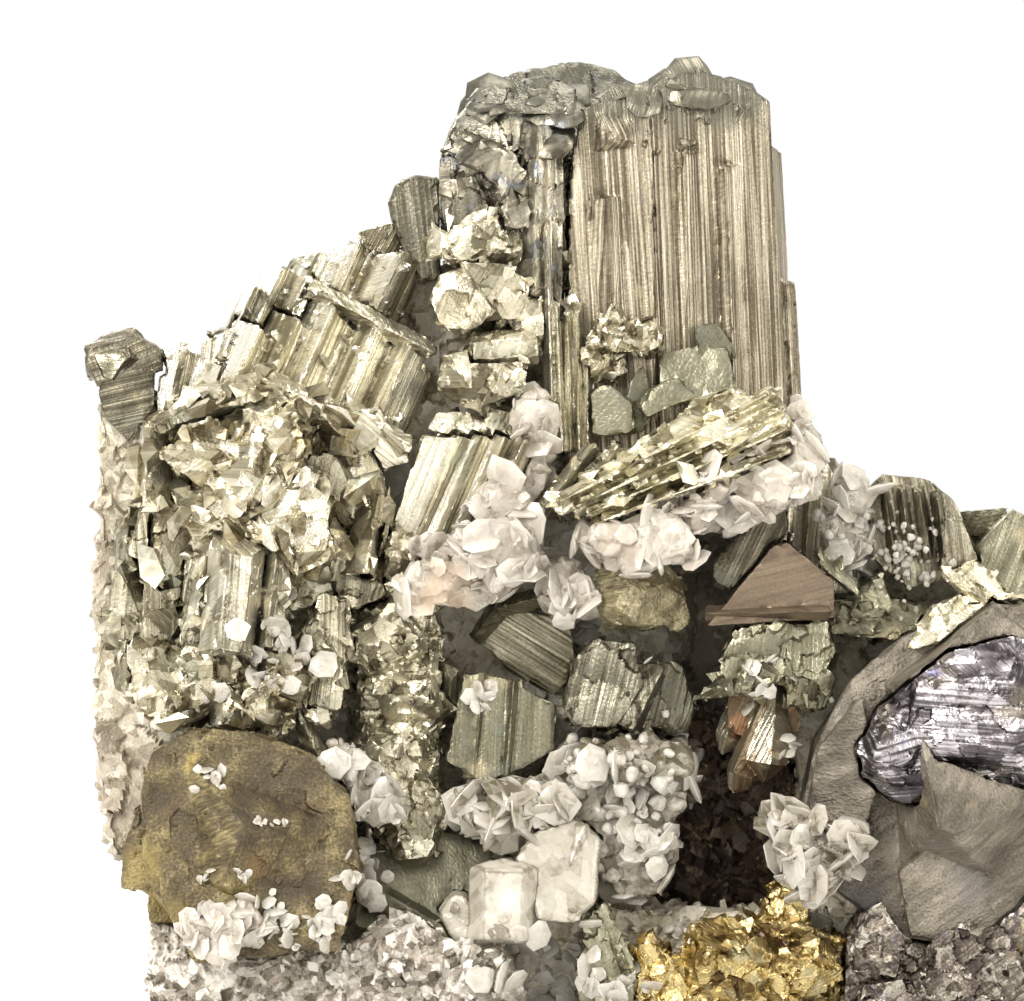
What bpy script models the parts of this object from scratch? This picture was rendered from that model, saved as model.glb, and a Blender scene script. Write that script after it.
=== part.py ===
"""Arsenopyrite specimen: striated crystals on a rock matrix, with calcite, chalcopyrite and galena.

Every form here is a crystal or a broken lump, so each is made as a solid with flat faces: a primitive cube
that is cut down by planes. One piece of the specimen is the union of its own solids, less a narrow parting
from the pieces that were placed before it.

Sizes are in millimetres until the mesh is written. +X runs to the right, +Y to the back and +Z up. The
origin is on the flat cut that the specimen rests on.
"""

import math
import random

import bmesh
import bpy
from mathutils import Euler, Matrix, Vector

# Driving dimensions, in millimetres
COLUMN_TOP = 96.4
COLUMN_FOOT = 52.0
MATRIX_BACK = 25.0
BASE_HEIGHT = 11.0
PARTING = 0.3

# How far forward the main groups stand: a smaller Y is nearer to the viewer
COLUMN_FACE = -4.0
STEPS_FACE = -7.0
RIM_FACE = -17.0
CHALCOPYRITE_FACE = -21.0
GALENA_FACE = -21.0

MM = 0.001
STOCK_SIDE = 400.0
FORWARD = Vector((0, -1, 0))
FLOOR_PLANE = (Vector((0, 0, -1)), 0.0)
SAME_POINT = 2e-6
FLAT_ANGLE = math.radians(0.4)

# Section shapes, as the directions of a prism's side faces in degrees: 0 is its right side, 270 its front
RHOMB = (38, 142, 218, 322)
SLAB = (0, 90, 180, 270)
HEXAGON = (30, 90, 150, 210, 270, 330)
BLUNT_RHOMB = (35, 90, 145, 215, 270, 325)

# Ends of a prism, as (direction, slope): which way each end face looks, and its tilt from a square end
FLAT_END = ((0, 0),)
CHISEL = ((0, 32), (180, 32))
SLANT_FRONT = ((270, 35), (0, 0))
SLANT_RIGHT = ((0, 28), (0, 0))
SLANT_LEFT = ((180, 28), (0, 0))
POINT = ((30, 58), (150, 58), (270, 58))

MATERIALS = {
    "rock": ((0.36, 0.34, 0.31), 0.85, 0.0),
    "pale_rock": ((0.62, 0.59, 0.56), 0.7, 0.0),
    "arsenopyrite": ((0.52, 0.49, 0.41), 0.32, 0.9),
    "dark_arsenopyrite": ((0.30, 0.29, 0.25), 0.38, 0.85),
    "pyrrhotite": ((0.42, 0.31, 0.26), 0.4, 0.8),
    "calcite": ((0.90, 0.87, 0.85), 0.25, 0.0),
    "chalcopyrite": ((0.42, 0.34, 0.12), 0.42, 0.8),
    "bright_chalcopyrite": ((0.78, 0.60, 0.20), 0.3, 0.9),
    "galena": ((0.50, 0.50, 0.58), 0.22, 1.0),
    "sphalerite": ((0.33, 0.31, 0.28), 0.5, 0.3),
    "pyrite": ((0.82, 0.77, 0.56), 0.28, 0.95),
}


def clear_scene():
    for obj in list(bpy.data.objects):
        bpy.data.objects.remove(obj)


def make_material(name):
    colour, roughness, metallic = MATERIALS[name]
    material = bpy.data.materials.get(name) or bpy.data.materials.new(name)
    material.use_nodes = True
    shader = material.node_tree.nodes["Principled BSDF"]
    shader.inputs["Base Color"].default_value = (*colour, 1)
    shader.inputs["Roughness"].default_value = roughness
    shader.inputs["Metallic"].default_value = metallic
    return material


def tilted(direction, towards, degrees):
    """A unit direction leant towards another by an angle."""
    lean = math.radians(degrees)
    return (direction * math.cos(lean) + towards * math.sin(lean)).normalized()


def solid(centre, planes):
    """A flat-faced solid: its centre, and its faces as (outward normal, distance from the origin)."""
    return {"centre": Vector(centre), "planes": [*planes, FLOOR_PLANE]}


def hull_of(points):
    """The convex outline round some (x, z) points, anticlockwise."""
    rest = sorted(set(points))
    sides = []
    for run in (rest, rest[::-1]):
        side = []
        for point in run:
            while len(side) > 1 and turn_of(side[-2], side[-1], point) <= 0:
                side.pop()
            side.append(point)
        sides += side[:-1]
    return sides


def turn_of(a, b, c):
    return (b[0] - a[0]) * (c[1] - a[1]) - (b[1] - a[1]) * (c[0] - a[0])


def block(outline, front, back, bevel=0.0, slope=45, yaw=0, pitch=0, chips=0):
    """A broken block seen from the front: its outline as (x, z) points, and its front and back depths.

    Its sides run straight back, and an outline that reaches the floor ends flat there. Bevel is how deep
    the sloping border of the front face goes, each border face at about the slope angle. Yaw turns the
    front face to the right and pitch turns it up. Chips cut corners."""
    pick = random.Random(repr(outline))
    outline = hull_of([(x, z if z > 0 else -3) for x, z in outline])
    middle_x = sum(x for x, z in outline) / len(outline)
    middle_z = sum(z for x, z in outline) / len(outline)
    planes = []
    for (x1, z1), (x2, z2) in zip(outline, [*outline[1:], outline[0]]):
        normal = Vector((z2 - z1, 0, x1 - x2)).normalized()
        side = tilted(normal, -FORWARD, 2)
        planes.append((side, side.dot(Vector((x1, front, z1)))))
        if bevel:
            leant = tilted(normal, FORWARD, slope * pick.uniform(0.75, 1.25))
            planes.append((leant, leant.dot(Vector((x1, front + bevel * pick.uniform(0.6, 1.4), z1)))))
    face = Euler((math.radians(-pitch), 0, math.radians(yaw))).to_matrix() @ FORWARD
    planes.append((face, face.dot(Vector((middle_x, front, middle_z)))))
    planes.append((-FORWARD, back))
    reach = min(math.hypot(x - middle_x, z - middle_z) for x, z in outline)
    for _ in range(chips):
        around = pick.uniform(0, 2 * math.pi)
        side = Vector((math.cos(around), 0, math.sin(around)))
        normal = tilted(side, FORWARD, pick.uniform(35, 60))
        corner = Vector((middle_x, front, middle_z)) + side * reach * pick.uniform(0.5, 0.8)
        planes.append((normal, normal.dot(corner)))
    return solid((middle_x, (front + back) / 2, middle_z), planes)


def section_reach(sides):
    """How far a section of unit faces reaches across and along the view."""
    corners = []
    for one, other in zip(sides, [*sides[1:], sides[0] + 360]):
        half = math.radians(other - one) / 2
        middle = math.radians(other + one) / 2
        corners.append((math.cos(middle) / math.cos(half), math.sin(middle) / math.cos(half)))
    return max(x for x, y in corners), max(y for x, y in corners)


def crystal(base, tip, width, depth, sides=RHOMB, ends=SLANT_FRONT, roll=0):
    """A prism from base to tip. Width is measured across the view and depth along it."""
    base, tip = Vector(base), Vector(tip)
    axis = (tip - base).normalized()
    reference = Vector((1, 0, 0)) if abs(axis.x) < 0.85 else Vector((0, 0, -1))
    across = (reference - axis * reference.dot(axis)).normalized()
    across = Matrix.Rotation(math.radians(roll), 3, axis) @ across
    behind = axis.cross(across)
    middle = (base + tip) / 2
    reach_x, reach_y = section_reach(sides)
    planes = []
    for direction in sides:
        c = math.cos(math.radians(direction)) * reach_x / (width / 2)
        s = math.sin(math.radians(direction)) * reach_y / (depth / 2)
        normal = (across * c + behind * s).normalized()
        planes.append((normal, normal.dot(middle) + 1 / math.hypot(c, s)))
    for direction, slope in ends:
        c, s = math.cos(math.radians(direction)), math.sin(math.radians(direction))
        normal = tilted(axis, across * c + behind * s, slope)
        planes.append((normal, normal.dot(tip)))
    planes.append((-axis, -axis.dot(base)))
    return solid(middle, planes)


def lump(centre, size, seed, faces=12, roughness=0.16, front=None):
    """A rounded broken lump: a few faces all round an ellipsoid of this size, each at its own depth.

    Front is a depth that it doesn't come forward of."""
    centre, half = Vector(centre), Vector(size) / 2
    pick = random.Random(seed)
    turn = Euler([pick.uniform(0, 2 * math.pi) for _ in range(3)]).to_matrix()
    planes = []
    for i in range(faces):
        height = 1 - (2 * i + 1) / faces
        around = i * math.pi * (3 - math.sqrt(5))
        ring = math.sqrt(1 - height * height)
        normal = turn @ Vector((ring * math.cos(around), ring * math.sin(around), height))
        normal = (normal + 0.18 * Vector([pick.uniform(-1, 1) for _ in range(3)])).normalized()
        reach = Vector([n * h for n, h in zip(normal, half)]).length
        planes.append((normal, normal.dot(centre) + reach * (1 - roughness * pick.random())))
    if front is not None:
        planes.append((FORWARD, -front))
    return solid(centre, planes)


def plates(path, count, size, thick, seed, facing=FORWARD, spread=1.2):
    """Platy calcite crystals that overlap along a path, like petals, and look the way they face."""
    pick = random.Random(seed)
    made = []
    for i in range(count):
        along = (i + 0.5) / count * (len(path) - 1)
        step = min(int(along), len(path) - 2)
        place = Vector(path[step]).lerp(Vector(path[step + 1]), along - step)
        place += Vector([pick.uniform(-spread, spread) for _ in range(3)])
        normal = (facing.normalized() + 0.75 * Vector([pick.uniform(-1, 1) for _ in range(3)])).normalized()
        wide = size * pick.uniform(0.75, 1.25)
        deep = thick * pick.uniform(0.8, 1.3)
        made.append(
            crystal(
                place - normal * deep / 2,
                place + normal * deep / 2,
                wide,
                wide * pick.uniform(0.65, 1.0),
                SLAB if i % 2 else RHOMB,
                FLAT_END,
                roll=pick.uniform(0, 60),
            )
        )
    return made


def mesh_of(form, grow=0.0):
    """The mesh of one solid: a cube cut down by each plane in turn. Grow moves every face outwards."""
    bm = bmesh.new()
    bmesh.ops.create_cube(bm, size=STOCK_SIDE, matrix=Matrix.Translation(form["centre"]))
    for normal, distance in form["planes"]:
        everything = bm.verts[:] + bm.edges[:] + bm.faces[:]
        cut = bmesh.ops.bisect_plane(
            bm,
            geom=everything,
            dist=1e-5,
            plane_co=normal * (distance + grow),
            plane_no=normal,
            clear_outer=True,
        )
        rim = [e for e in cut["geom_cut"] if isinstance(e, bmesh.types.BMEdge) and e.is_boundary]
        if rim:
            bmesh.ops.contextual_create(bm, geom=rim)
    bmesh.ops.remove_doubles(bm, verts=bm.verts[:], dist=1e-3)
    bmesh.ops.recalc_face_normals(bm, faces=bm.faces[:])
    bmesh.ops.scale(bm, vec=(MM, MM, MM), verts=bm.verts[:])
    mesh = bpy.data.meshes.new("form")
    bm.to_mesh(mesh)
    bm.free()
    return mesh


def helper_collection(name, meshes):
    """A hidden collection of helper objects, for one Boolean."""
    group = bpy.data.collections.new(name)
    group.hide_render = True
    bpy.context.scene.collection.children.link(group)
    for mesh in meshes:
        helper = bpy.data.objects.new(name, mesh)
        helper.hide_render = True
        helper.display_type = "WIRE"
        group.objects.link(helper)
    return group


def drop_collection(group):
    for helper in list(group.objects):
        bpy.data.objects.remove(helper)
    bpy.data.collections.remove(group)


def boolean(obj, operation, group):
    """Joins or cuts obj with all of a helper collection, and keeps the result as its mesh.

    The exact solver can leave a slit where faces nearly coincide, so its result is checked."""
    modifier = obj.modifiers.new(operation.title(), "BOOLEAN")
    modifier.operation = operation
    modifier.operand_type = "COLLECTION"
    modifier.collection = group
    for solver in ("EXACT", "MANIFOLD"):
        modifier.solver = solver
        if solver == "EXACT":
            modifier.use_self = True
        graph = bpy.context.evaluated_depsgraph_get()
        result = bpy.data.meshes.new_from_object(obj.evaluated_get(graph))
        weld(result)
        if is_closed(result):
            break
    obj.modifiers.clear()
    obj.data = result


def weld(mesh):
    bm = bmesh.new()
    bm.from_mesh(mesh)
    bmesh.ops.remove_doubles(bm, verts=bm.verts[:], dist=SAME_POINT)
    bmesh.ops.dissolve_degenerate(bm, edges=bm.edges[:], dist=SAME_POINT)
    bm.to_mesh(mesh)
    bm.free()


def is_closed(mesh):
    bm = bmesh.new()
    bm.from_mesh(mesh)
    closed = len(bm.faces) > 0 and all(edge.is_manifold for edge in bm.edges)
    bm.free()
    return closed


def islands(bm):
    """The separate bodies of a mesh, as lists of faces."""
    left, found = set(bm.faces), []
    while left:
        queue, body = [left.pop()], []
        while queue:
            face = queue.pop()
            body.append(face)
            for edge in face.edges:
                for other in edge.link_faces:
                    if other in left:
                        left.remove(other)
                        queue.append(other)
        found.append(body)
    return found


def volume_of(faces):
    """Six times the volume that these faces enclose, by its sign."""
    total = 0.0
    for face in faces:
        corners = [v.co for v in face.verts]
        for i in range(1, len(corners) - 1):
            total += corners[0].dot(corners[i].cross(corners[i + 1]))
    return total


def tidy(obj):
    """Keeps the largest body where a cut left offcuts, then merges its coplanar faces."""
    bm = bmesh.new()
    bm.from_mesh(obj.data)
    bodies = sorted(islands(bm), key=volume_of)
    offcuts = [face for body in bodies[:-1] for face in body]
    bmesh.ops.delete(bm, geom=offcuts, context="FACES")
    bm.to_mesh(obj.data)
    bm.free()
    for merge in (True, False):
        bm = bmesh.new()
        bm.from_mesh(obj.data)
        if merge:
            bmesh.ops.dissolve_limit(bm, angle_limit=FLAT_ANGLE, verts=bm.verts[:], edges=bm.edges[:])
        bmesh.ops.triangulate(bm, faces=bm.faces[:])
        closed = all(edge.is_manifold for edge in bm.edges)
        if closed or not merge:
            bm.to_mesh(obj.data)
        bm.free()
        if closed:
            break


def span(form_mesh):
    """The lowest and highest corners of a mesh."""
    points = [v.co for v in form_mesh.vertices]
    low = Vector([min(p[i] for p in points) for i in range(3)])
    high = Vector([max(p[i] for p in points) for i in range(3)])
    return low, high


def apart(one, other):
    return any(one[0][i] > other[1][i] or other[0][i] > one[1][i] for i in range(3))


class Specimen:
    """Places the pieces one after another. A later piece leaves a parting from each earlier one."""

    def __init__(self, name):
        self.collection = bpy.data.collections.new(name)
        bpy.context.scene.collection.children.link(self.collection)
        self.placed = []

    def add(self, name, forms, material):
        meshes = [mesh_of(form) for form in forms]
        obj = bpy.data.objects.new(name, meshes[0])
        self.collection.objects.link(obj)
        if len(meshes) > 1:
            group = helper_collection(name + "_forms", meshes[1:])
            boolean(obj, "UNION", group)
            drop_collection(group)
        box = span(obj.data)
        cutters = [cutter for cutter in self.placed if not apart(box, span(cutter))]
        if cutters:
            group = helper_collection(name + "_parting", cutters)
            boolean(obj, "DIFFERENCE", group)
            drop_collection(group)
        tidy(obj)
        obj.data.materials.clear()
        obj.data.materials.append(make_material(material))
        self.placed += [mesh_of(form, grow=PARTING) for form in forms]
        return obj


def matrix_rock():
    """The rock behind and under the crystals, with a hollow left open at the lower right of the middle."""
    foot = [(-44, 0), (50, 0), (52, 9), (10, 10.5), (-44, BASE_HEIGHT)]
    left_flank = [(-49.5, 15), (-51, 27), (-49.2, 40), (-50.5, 61), (-30, 64), (-22, 40), (-24, 12)]
    middle = [(-26, 10), (-28, 62), (4, 64), (8, 30), (5, 8)]
    right = [(21, 8), (19, 40), (24, 50), (45, 47), (53, 34), (53, 8)]
    hollow_back = [(0, 6), (-2, 60), (20, 60), (23.5, 55), (26, 50), (30, 42), (30, 6)]
    shoulder = [(-46, 58), (-40, 63), (-24, 73.6), (-16, 75.4), (-3.6, 73), (-3.6, 58)]
    return [
        block(foot, -8, 19),
        block(left_flank, 1, 10),
        block(middle, 0, 15),
        block(right, 2, 12),
        block(hollow_back, 11, 17),
        block(shoulder, 4.2, 11),
        lump((-27, 8, 33), (40, 2 * MATRIX_BACK - 24, 56), seed=3, faces=14, front=2),
        lump((24, 8, 25), (50, 2 * MATRIX_BACK - 24, 42), seed=8, faces=14, front=11.5),
        lump((-9, 10, 46), (40, 2 * MATRIX_BACK - 28, 40), seed=9, faces=13, front=5),
    ]


def quartz_foot():
    """The pale grainy rock at the lower left, which also carries the specimen."""
    edge = [(-44.8, 0), (-45, 5), (-44.6, 10.5), (-36, 11), (-26, 9), (-24, 0)]
    return [
        block(edge, -17, 0, chips=3),
        lump((-36, -12, 5), (16, 12, 11), seed=5, faces=12),
    ]


def breccia_foot():
    """Broken grains of pale ore along the lower edge, left of the middle."""
    return [
        block([(-27, 0), (-26, 6.5), (-20, 9.8), (-14, 7), (-9, 5.5), (-9, 0)], -18, 0, chips=2),
        lump((-19, -16, 6), (9, 8, 7.4), seed=12, faces=10),
        lump((-12.5, -16, 4), (8, 7, 7), seed=13, faces=9),
    ]


def grey_foot_crystal():
    """The smooth grey crystal face low down between the ore lump and the calcite."""
    face = [(-24.5, 9), (-24, 17), (-16, 18.5), (-11, 17.5), (-8.5, 9), (-15, 6.5)]
    return [
        block(face, -11.5, 2, pitch=20),
        crystal((-23.5, -12, 12.6), (-14.5, -15, 7.6), 3.2, 3.4, RHOMB, CHISEL),
    ]


def tall_column_main():
    """The tall striated column: prisms grown side by side, with a slanting end on each."""
    middle_left, middle_right = -3.4, 5.2
    right_edge = 17.2
    middle = [
        (middle_left, COLUMN_FOOT),
        (-3.0, 84),
        (-2.0, 91),
        (1.6, 92),
        (middle_right, 92.6),
        (5.8, COLUMN_FOOT),
    ]
    right = [
        (4.6, COLUMN_FOOT), (5.0, 92.8), (6.6, 94.1), (10, 95.0), (15.5, 93), (right_edge, 91.8), (19, 56)
    ]
    return [
        block(middle, COLUMN_FACE - 1.2, 0.8, yaw=-8, pitch=2),
        block(
            [(-1.8, 86), (-1.6, 91.5), (1.8, 93.6), (5, 92.6), (5.2, 86)],
            COLUMN_FACE - 1, 0.8, bevel=1.2, pitch=30,
        ),
        block(right, COLUMN_FACE, 12, yaw=3, pitch=1),
        crystal((8, -1.5, 84), (7.8, 1.5, 95.0), 6.2, 7, RHOMB, ((270, 48), (180, 30), (0, 0))),
        block(
            [(12, 89.4), (11, 94.2), (15.3, 93.3), (16.9, 91.4), (16.4, 88)],
            COLUMN_FACE - 0.2, 10, bevel=2.0,
        ),
        crystal((18.2, 2, COLUMN_FOOT), (16.6, 3, 87.4), 4.0, 12, BLUNT_RHOMB, ((0, 25), (0, 0))),
        crystal((19.4, 3, 55), (18.4, 3.5, 73.6), 2.8, 10, SLAB, ((0, 12), (0, 0))),
        crystal((13.6, -3.6, 60), (12.8, -3.4, 85.2), 4.2, 3.0, RHOMB, FLAT_END),
        crystal((2.2, -5.0, 66), (0.7, -5.0, 82), 4.0, 2.6, RHOMB, FLAT_END),
        crystal((9.2, -3.8, 58), (8.6, -3.6, 86.6), 4.4, 2.6, RHOMB, FLAT_END),
    ]


def tall_column_left():
    """The left half of the column: a broad domed end above a broken, blocky side."""
    dome = [(-13.4, 68), (-13.2, 92.4), (-9.4, 95.0), (-3, COLUMN_TOP), (1.6, 95.4), (5.0, 92.8), (4, 68)]
    side = [
        (-15.2, 76), (-16.2, 79), (-16.3, 86.2), (-14.6, 90), (-13, 91.4), (-3.6, 90.6),
        (-3.9, 70), (-8, 68),
    ]
    return [
        block(dome, 0.5, 12, bevel=2.0, pitch=34),
        block(side, COLUMN_FACE + 0.6, 11, yaw=-12, pitch=4),
        block(
            [(-13.6, 90.2), (-13, 92.6), (-9, 93.6), (-5.8, 90.6), (-9.5, 90)],
            COLUMN_FACE + 0.4, 6, slope=50, bevel=1.6, pitch=38,
        ),
        block(
            [(-9.6, 90.5), (-8, 94), (-4.8, 94.8), (-2.2, 93), (-2.6, 90.4)],
            COLUMN_FACE + 0.9, 6, pitch=34,
        ),
        block(
            [(-12.4, 84.6), (-12, 87.6), (-8.6, 86), (-7.2, 83.6), (-9.6, 82.4)],
            -5.2, 0, pitch=-14, yaw=-14,
        ),
        block(
            [(-16, 78.4), (-16, 83.5), (-12.6, 84.4), (-11, 81), (-12.6, 78.2)],
            -4.9, 1, yaw=-18, chips=1,
        ),
        block(
            [(-9.4, 78.8), (-11, 82.4), (-8.6, 84.8), (-4.8, 84.8), (-4.4, 79)],
            -5.4, 1, pitch=10, yaw=10, chips=1,
        ),
        crystal((-6.6, -4.8, 72), (-6.1, -4.5, 89.4), 3.6, 3.4, RHOMB, FLAT_END),
    ]


def fluted_prism():
    """The deeply grooved prism at the column's lower left: thin ribs side by side."""
    ribs = []
    rib_tops = (80.6, 72.4, 71.4, 71.8, 66.5)
    for i, height in enumerate(rib_tops):
        foot = (-4.6 + 0.85 * i, -4.6 - 0.25 * i, 56.2)
        top = (-5.4 + 1.05 * i, -4.4 - 0.2 * i, height)
        ribs.append(crystal(foot, top, 1.75, 5.6, RHOMB, SLANT_FRONT))
    return ribs


def small_blade():
    """The dark blade with a round shoulder that leans on the column's left side."""
    face = [
        (-18, 73.6), (-20.6, 79.4), (-21.1, 81.6), (-20.3, 83.4), (-18.6, 84.1), (-16.4, 83.9), (-16.2, 74)
    ]
    return [block(face, -1.4, 6, yaw=-10)]


def broken_block_upper():
    """Cream faces of the block under the column's broken side."""
    return [
        block(
            [(-15.6, 75.4), (-15.2, 78.6), (-11.5, 82), (-8.6, 80), (-6.4, 76.2), (-10.6, 74.8)],
            -6.4, 2, bevel=1.2, yaw=-6,
        ),
        block([(-17.6, 75.6), (-17, 79.6), (-14.6, 79.4), (-14.4, 76)], -5.2, 2, bevel=1.2, chips=1),
        block([(-9.5, 74.6), (-8, 77.4), (-5.4, 78.6), (-4.6, 70), (-7, 70)], -5.4, 2, bevel=1.2, yaw=14),
    ]


def white_faced_block():
    """The block with one flat mirror face that catches the light."""
    return [
        block(
            [(-17, 71.4), (-16.2, 74.2), (-13.8, 75.2), (-10.4, 70.4), (-12.4, 68.6), (-16, 68.8)],
            -8.2, 2, yaw=-6, pitch=16,
        ),
        block(
            [(-14, 75.3), (-9.6, 75.4), (-6.6, 73), (-7.4, 69.6), (-11.6, 69.4)],
            -7.2, 2, yaw=12, pitch=-6, chips=1,
        ),
        crystal((-12.8, -6.6, 66.4), (-6.2, -6.6, 66.9), 4.2, 4.6, BLUNT_RHOMB, FLAT_END),
        block([(-8, 69.8), (-6.8, 72.4), (-4.6, 72), (-4.8, 66), (-7.4, 65.6)], -6.6, 1, chips=1),
    ]


def pale_green_block():
    """The pale block with a striated notch, and the small corner pieces under it."""
    return [
        block(
            [(-16.6, 62.6), (-15.8, 66), (-12, 67), (-7.6, 65.6), (-7.2, 62.4), (-10.2, 61.2), (-14, 60.8)],
            -9.4, 2, pitch=14, chips=1,
        ),
        crystal((-12.6, -8.8, 60.4), (-11.2, -8.8, 64.4), 3.8, 3.6, RHOMB, FLAT_END),
        block([(-17.4, 58.6), (-16.4, 60.4), (-11.8, 60.2), (-10.2, 57.4), (-14, 57.2)], -8.6, 2, pitch=24),
        block([(-11.8, 59.2), (-11, 60.8), (-8.4, 60.2), (-7.8, 57.4), (-10, 56.8)], -9.6, 1, yaw=10),
    ]


def stepped_prisms_upper():
    """The upper flight of leaning prisms, whose tops climb to the right like stairs."""
    lean = Vector((0.42, 0.10, 0.90)).normalized()
    tops = (
        (-34.6, 72.6, 4.8, 0.0),
        (-31.6, 74.6, 4.8, 0.6),
        (-28.0, 76.2, 5.6, -0.6),
        (-24.2, 77.0, 6.0, 0.2),
        (-20.2, 76.4, 6.4, -1.8),
    )
    length = 12.0
    prisms = []
    for x, z, width, nearer in tops:
        tip = Vector((x, 1.2 + nearer, z))
        prisms.append(crystal(tip - lean * length, tip, width, 10.0, RHOMB, SLANT_LEFT, roll=-4 * nearer))
    tip = Vector((-19.0, 3.4, 78.4))
    prisms.append(crystal(tip - Vector((5.0, 0, 1.4)), tip, 3.4, 5.0, SLAB, FLAT_END))
    return prisms


def stepped_prisms_lower():
    """The lower flight of leaning prisms, in front of the upper one, under its slanting ledge."""
    lean = Vector((0.40, 0.06, 0.91)).normalized()
    tops = (
        (-34.2, 68.8, 5.6, 0.0),
        (-30.4, 69.6, 5.6, 0.6),
        (-26.4, 70.6, 6.0, -0.7),
        (-22.4, 69.0, 6.0, -0.2),
        (-18.6, 66.6, 5.6, -1.0),
    )
    length = 11.5
    prisms = []
    for x, z, width, nearer in tops:
        tip = Vector((x, STEPS_FACE + 4.6 + nearer, z))
        prisms.append(crystal(tip - lean * length, tip, width, 9.4, RHOMB, SLANT_RIGHT, roll=5 * nearer))
    ledge = crystal((-29.4, -4.4, 73.0), (-16.4, -4.8, 66.2), 2.2, 7.4, RHOMB, CHISEL)
    return [*prisms, ledge]


def wedge_block():
    """The dark wedge below the stepped prisms, with its pale upper edge."""
    return [
        block(
            [(-26.4, 60), (-22, 61), (-19.2, 56.4), (-18.9, 55.2), (-22.6, 54.2), (-25.4, 56.8)],
            -11.4, 0, yaw=12, pitch=-14,
        ),
        crystal((-25.6, -9.4, 60.6), (-18.8, -10.4, 56.4), 2.8, 4.4, RHOMB, CHISEL),
        lump((-20.4, -9.5, 52.6), (4.4, 5, 4.4), seed=21, faces=9),
    ]


def bright_plate():
    """The bright leaning plate between the knob and the stepped prisms."""
    return [
        block(
            [(-45, 58), (-44.2, 66.4), (-40.4, 67.2), (-36.9, 68.6), (-36.6, 63), (-38, 58)],
            -3.4, 6, yaw=8, pitch=10,
        ),
        crystal((-43.6, -3, 57.5), (-41.4, -2.4, 66.4), 3.0, 4.0, RHOMB, FLAT_END),
        crystal((-39.8, -3.2, 58), (-38.2, -2.8, 65.2), 3.6, 3.6, RHOMB, SLANT_RIGHT),
    ]


def knob_crystal():
    """The dark knob at the far upper left."""
    return [
        block(
            [(-49.8, 59.5), (-50.6, 62.6), (-49.4, 64.4), (-44.6, 64.8), (-44.8, 60.6), (-47.4, 57.2)],
            -5.6, 5, yaw=-8,
        ),
        block(
            [
                (-51.9, 65.6), (-51.2, 67), (-49.4, 67.4), (-46.4, 68.2), (-44, 66.8),
                (-43.8, 64.4), (-50.6, 62.8),
            ],
            -4.6, 5, pitch=12, chips=1,
        ),
        lump((-48.6, -2.2, 65.4), (6.4, 7, 4.2), seed=31, faces=10),
    ]


def rim_crystal():
    """The large front crystal whose raised rim arches over a broken hollow."""
    rim = [
        (-44.6, 52.0), (-44.2, 58.4), (-38.2, 61.6), (-33.4, 62.8), (-28.4, 60.4),
        (-24.8, 56.4), (-22.8, 51.6), (-24.0, 45.2),
    ]
    body = [
        (-45, 44), (-44.6, 57.4), (-37, 61), (-31, 61.6), (-25.6, 56), (-23.6, 50), (-25, 42), (-40, 38)
    ]
    forms = [block(body, RIM_FACE + 5.5, 0)]
    for i, (start, end) in enumerate(zip(rim, rim[1:])):
        reach = Vector((end[0] - start[0], 0, end[1] - start[1])).normalized() * 1.0
        depth = RIM_FACE + 5 + 0.9 * (i % 3)
        base = Vector((start[0], depth, start[1])) - reach
        tip = Vector((end[0], depth - 0.4, end[1])) + reach
        forms.append(crystal(base, tip, 3.4 + 0.4 * (i % 2), 9.5, RHOMB, FLAT_END, roll=10 * (i % 3) - 10))
    return forms


def crater_blocks():
    """The broken flakes that fill the hollow inside the rim."""
    pick = random.Random(41)
    flakes = []
    spots = ((-38.6, 56.2), (-32.4, 57.0), (-38.0, 50.0), (-31.0, 51.2), (-34.8, 53.8))
    for i, (x, z) in enumerate(spots):
        size = pick.uniform(7.0, 8.6)
        flakes.append(lump((x, -13.4 - 0.2 * i, z), (size, 5.4, size * 0.85), seed=100 + i, faces=8))
    shelf = block(
        [(-36.6, 49.4), (-33, 51), (-27.4, 49.8), (-26.2, 45.6), (-30, 44.2)],
        -17.6, -8, bevel=1.2, yaw=12, pitch=18,
    )
    return [*flakes, shelf]


def brown_side_block():
    """The golden brown block right of the rim."""
    return [
        block(
            [(-25.8, 45.8), (-25.4, 50.4), (-22.4, 51.6), (-20.9, 49), (-21.6, 46), (-24, 44.8)],
            -13.6, 0, yaw=12, chips=1,
        ),
        block(
            [(-26.6, 42.2), (-26, 45.6), (-22, 45.6), (-21.4, 41.8), (-24.6, 40.6)],
            -12.4, 0, yaw=-8, chips=1,
        ),
    ]


def dusted_block():
    """The upright block in front, sprinkled with pale grains."""
    return [
        crystal((-37.4, -17.6, 36.0), (-35.9, -15.6, 47.8), 5.8, 6.4, BLUNT_RHOMB, SLANT_FRONT, roll=8),
        block([(-42, 37), (-41.4, 45.4), (-37, 47.6), (-32.2, 45.6), (-31, 37)], -14.2, -10),
        crystal((-40.4, -15.8, 38.4), (-39.4, -14.4, 45.6), 2.8, 4.4, RHOMB, SLANT_LEFT),
        crystal((-33.4, -16.0, 36.6), (-32.2, -14.6, 46.0), 3.0, 4.6, RHOMB, SLANT_RIGHT),
    ]


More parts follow.
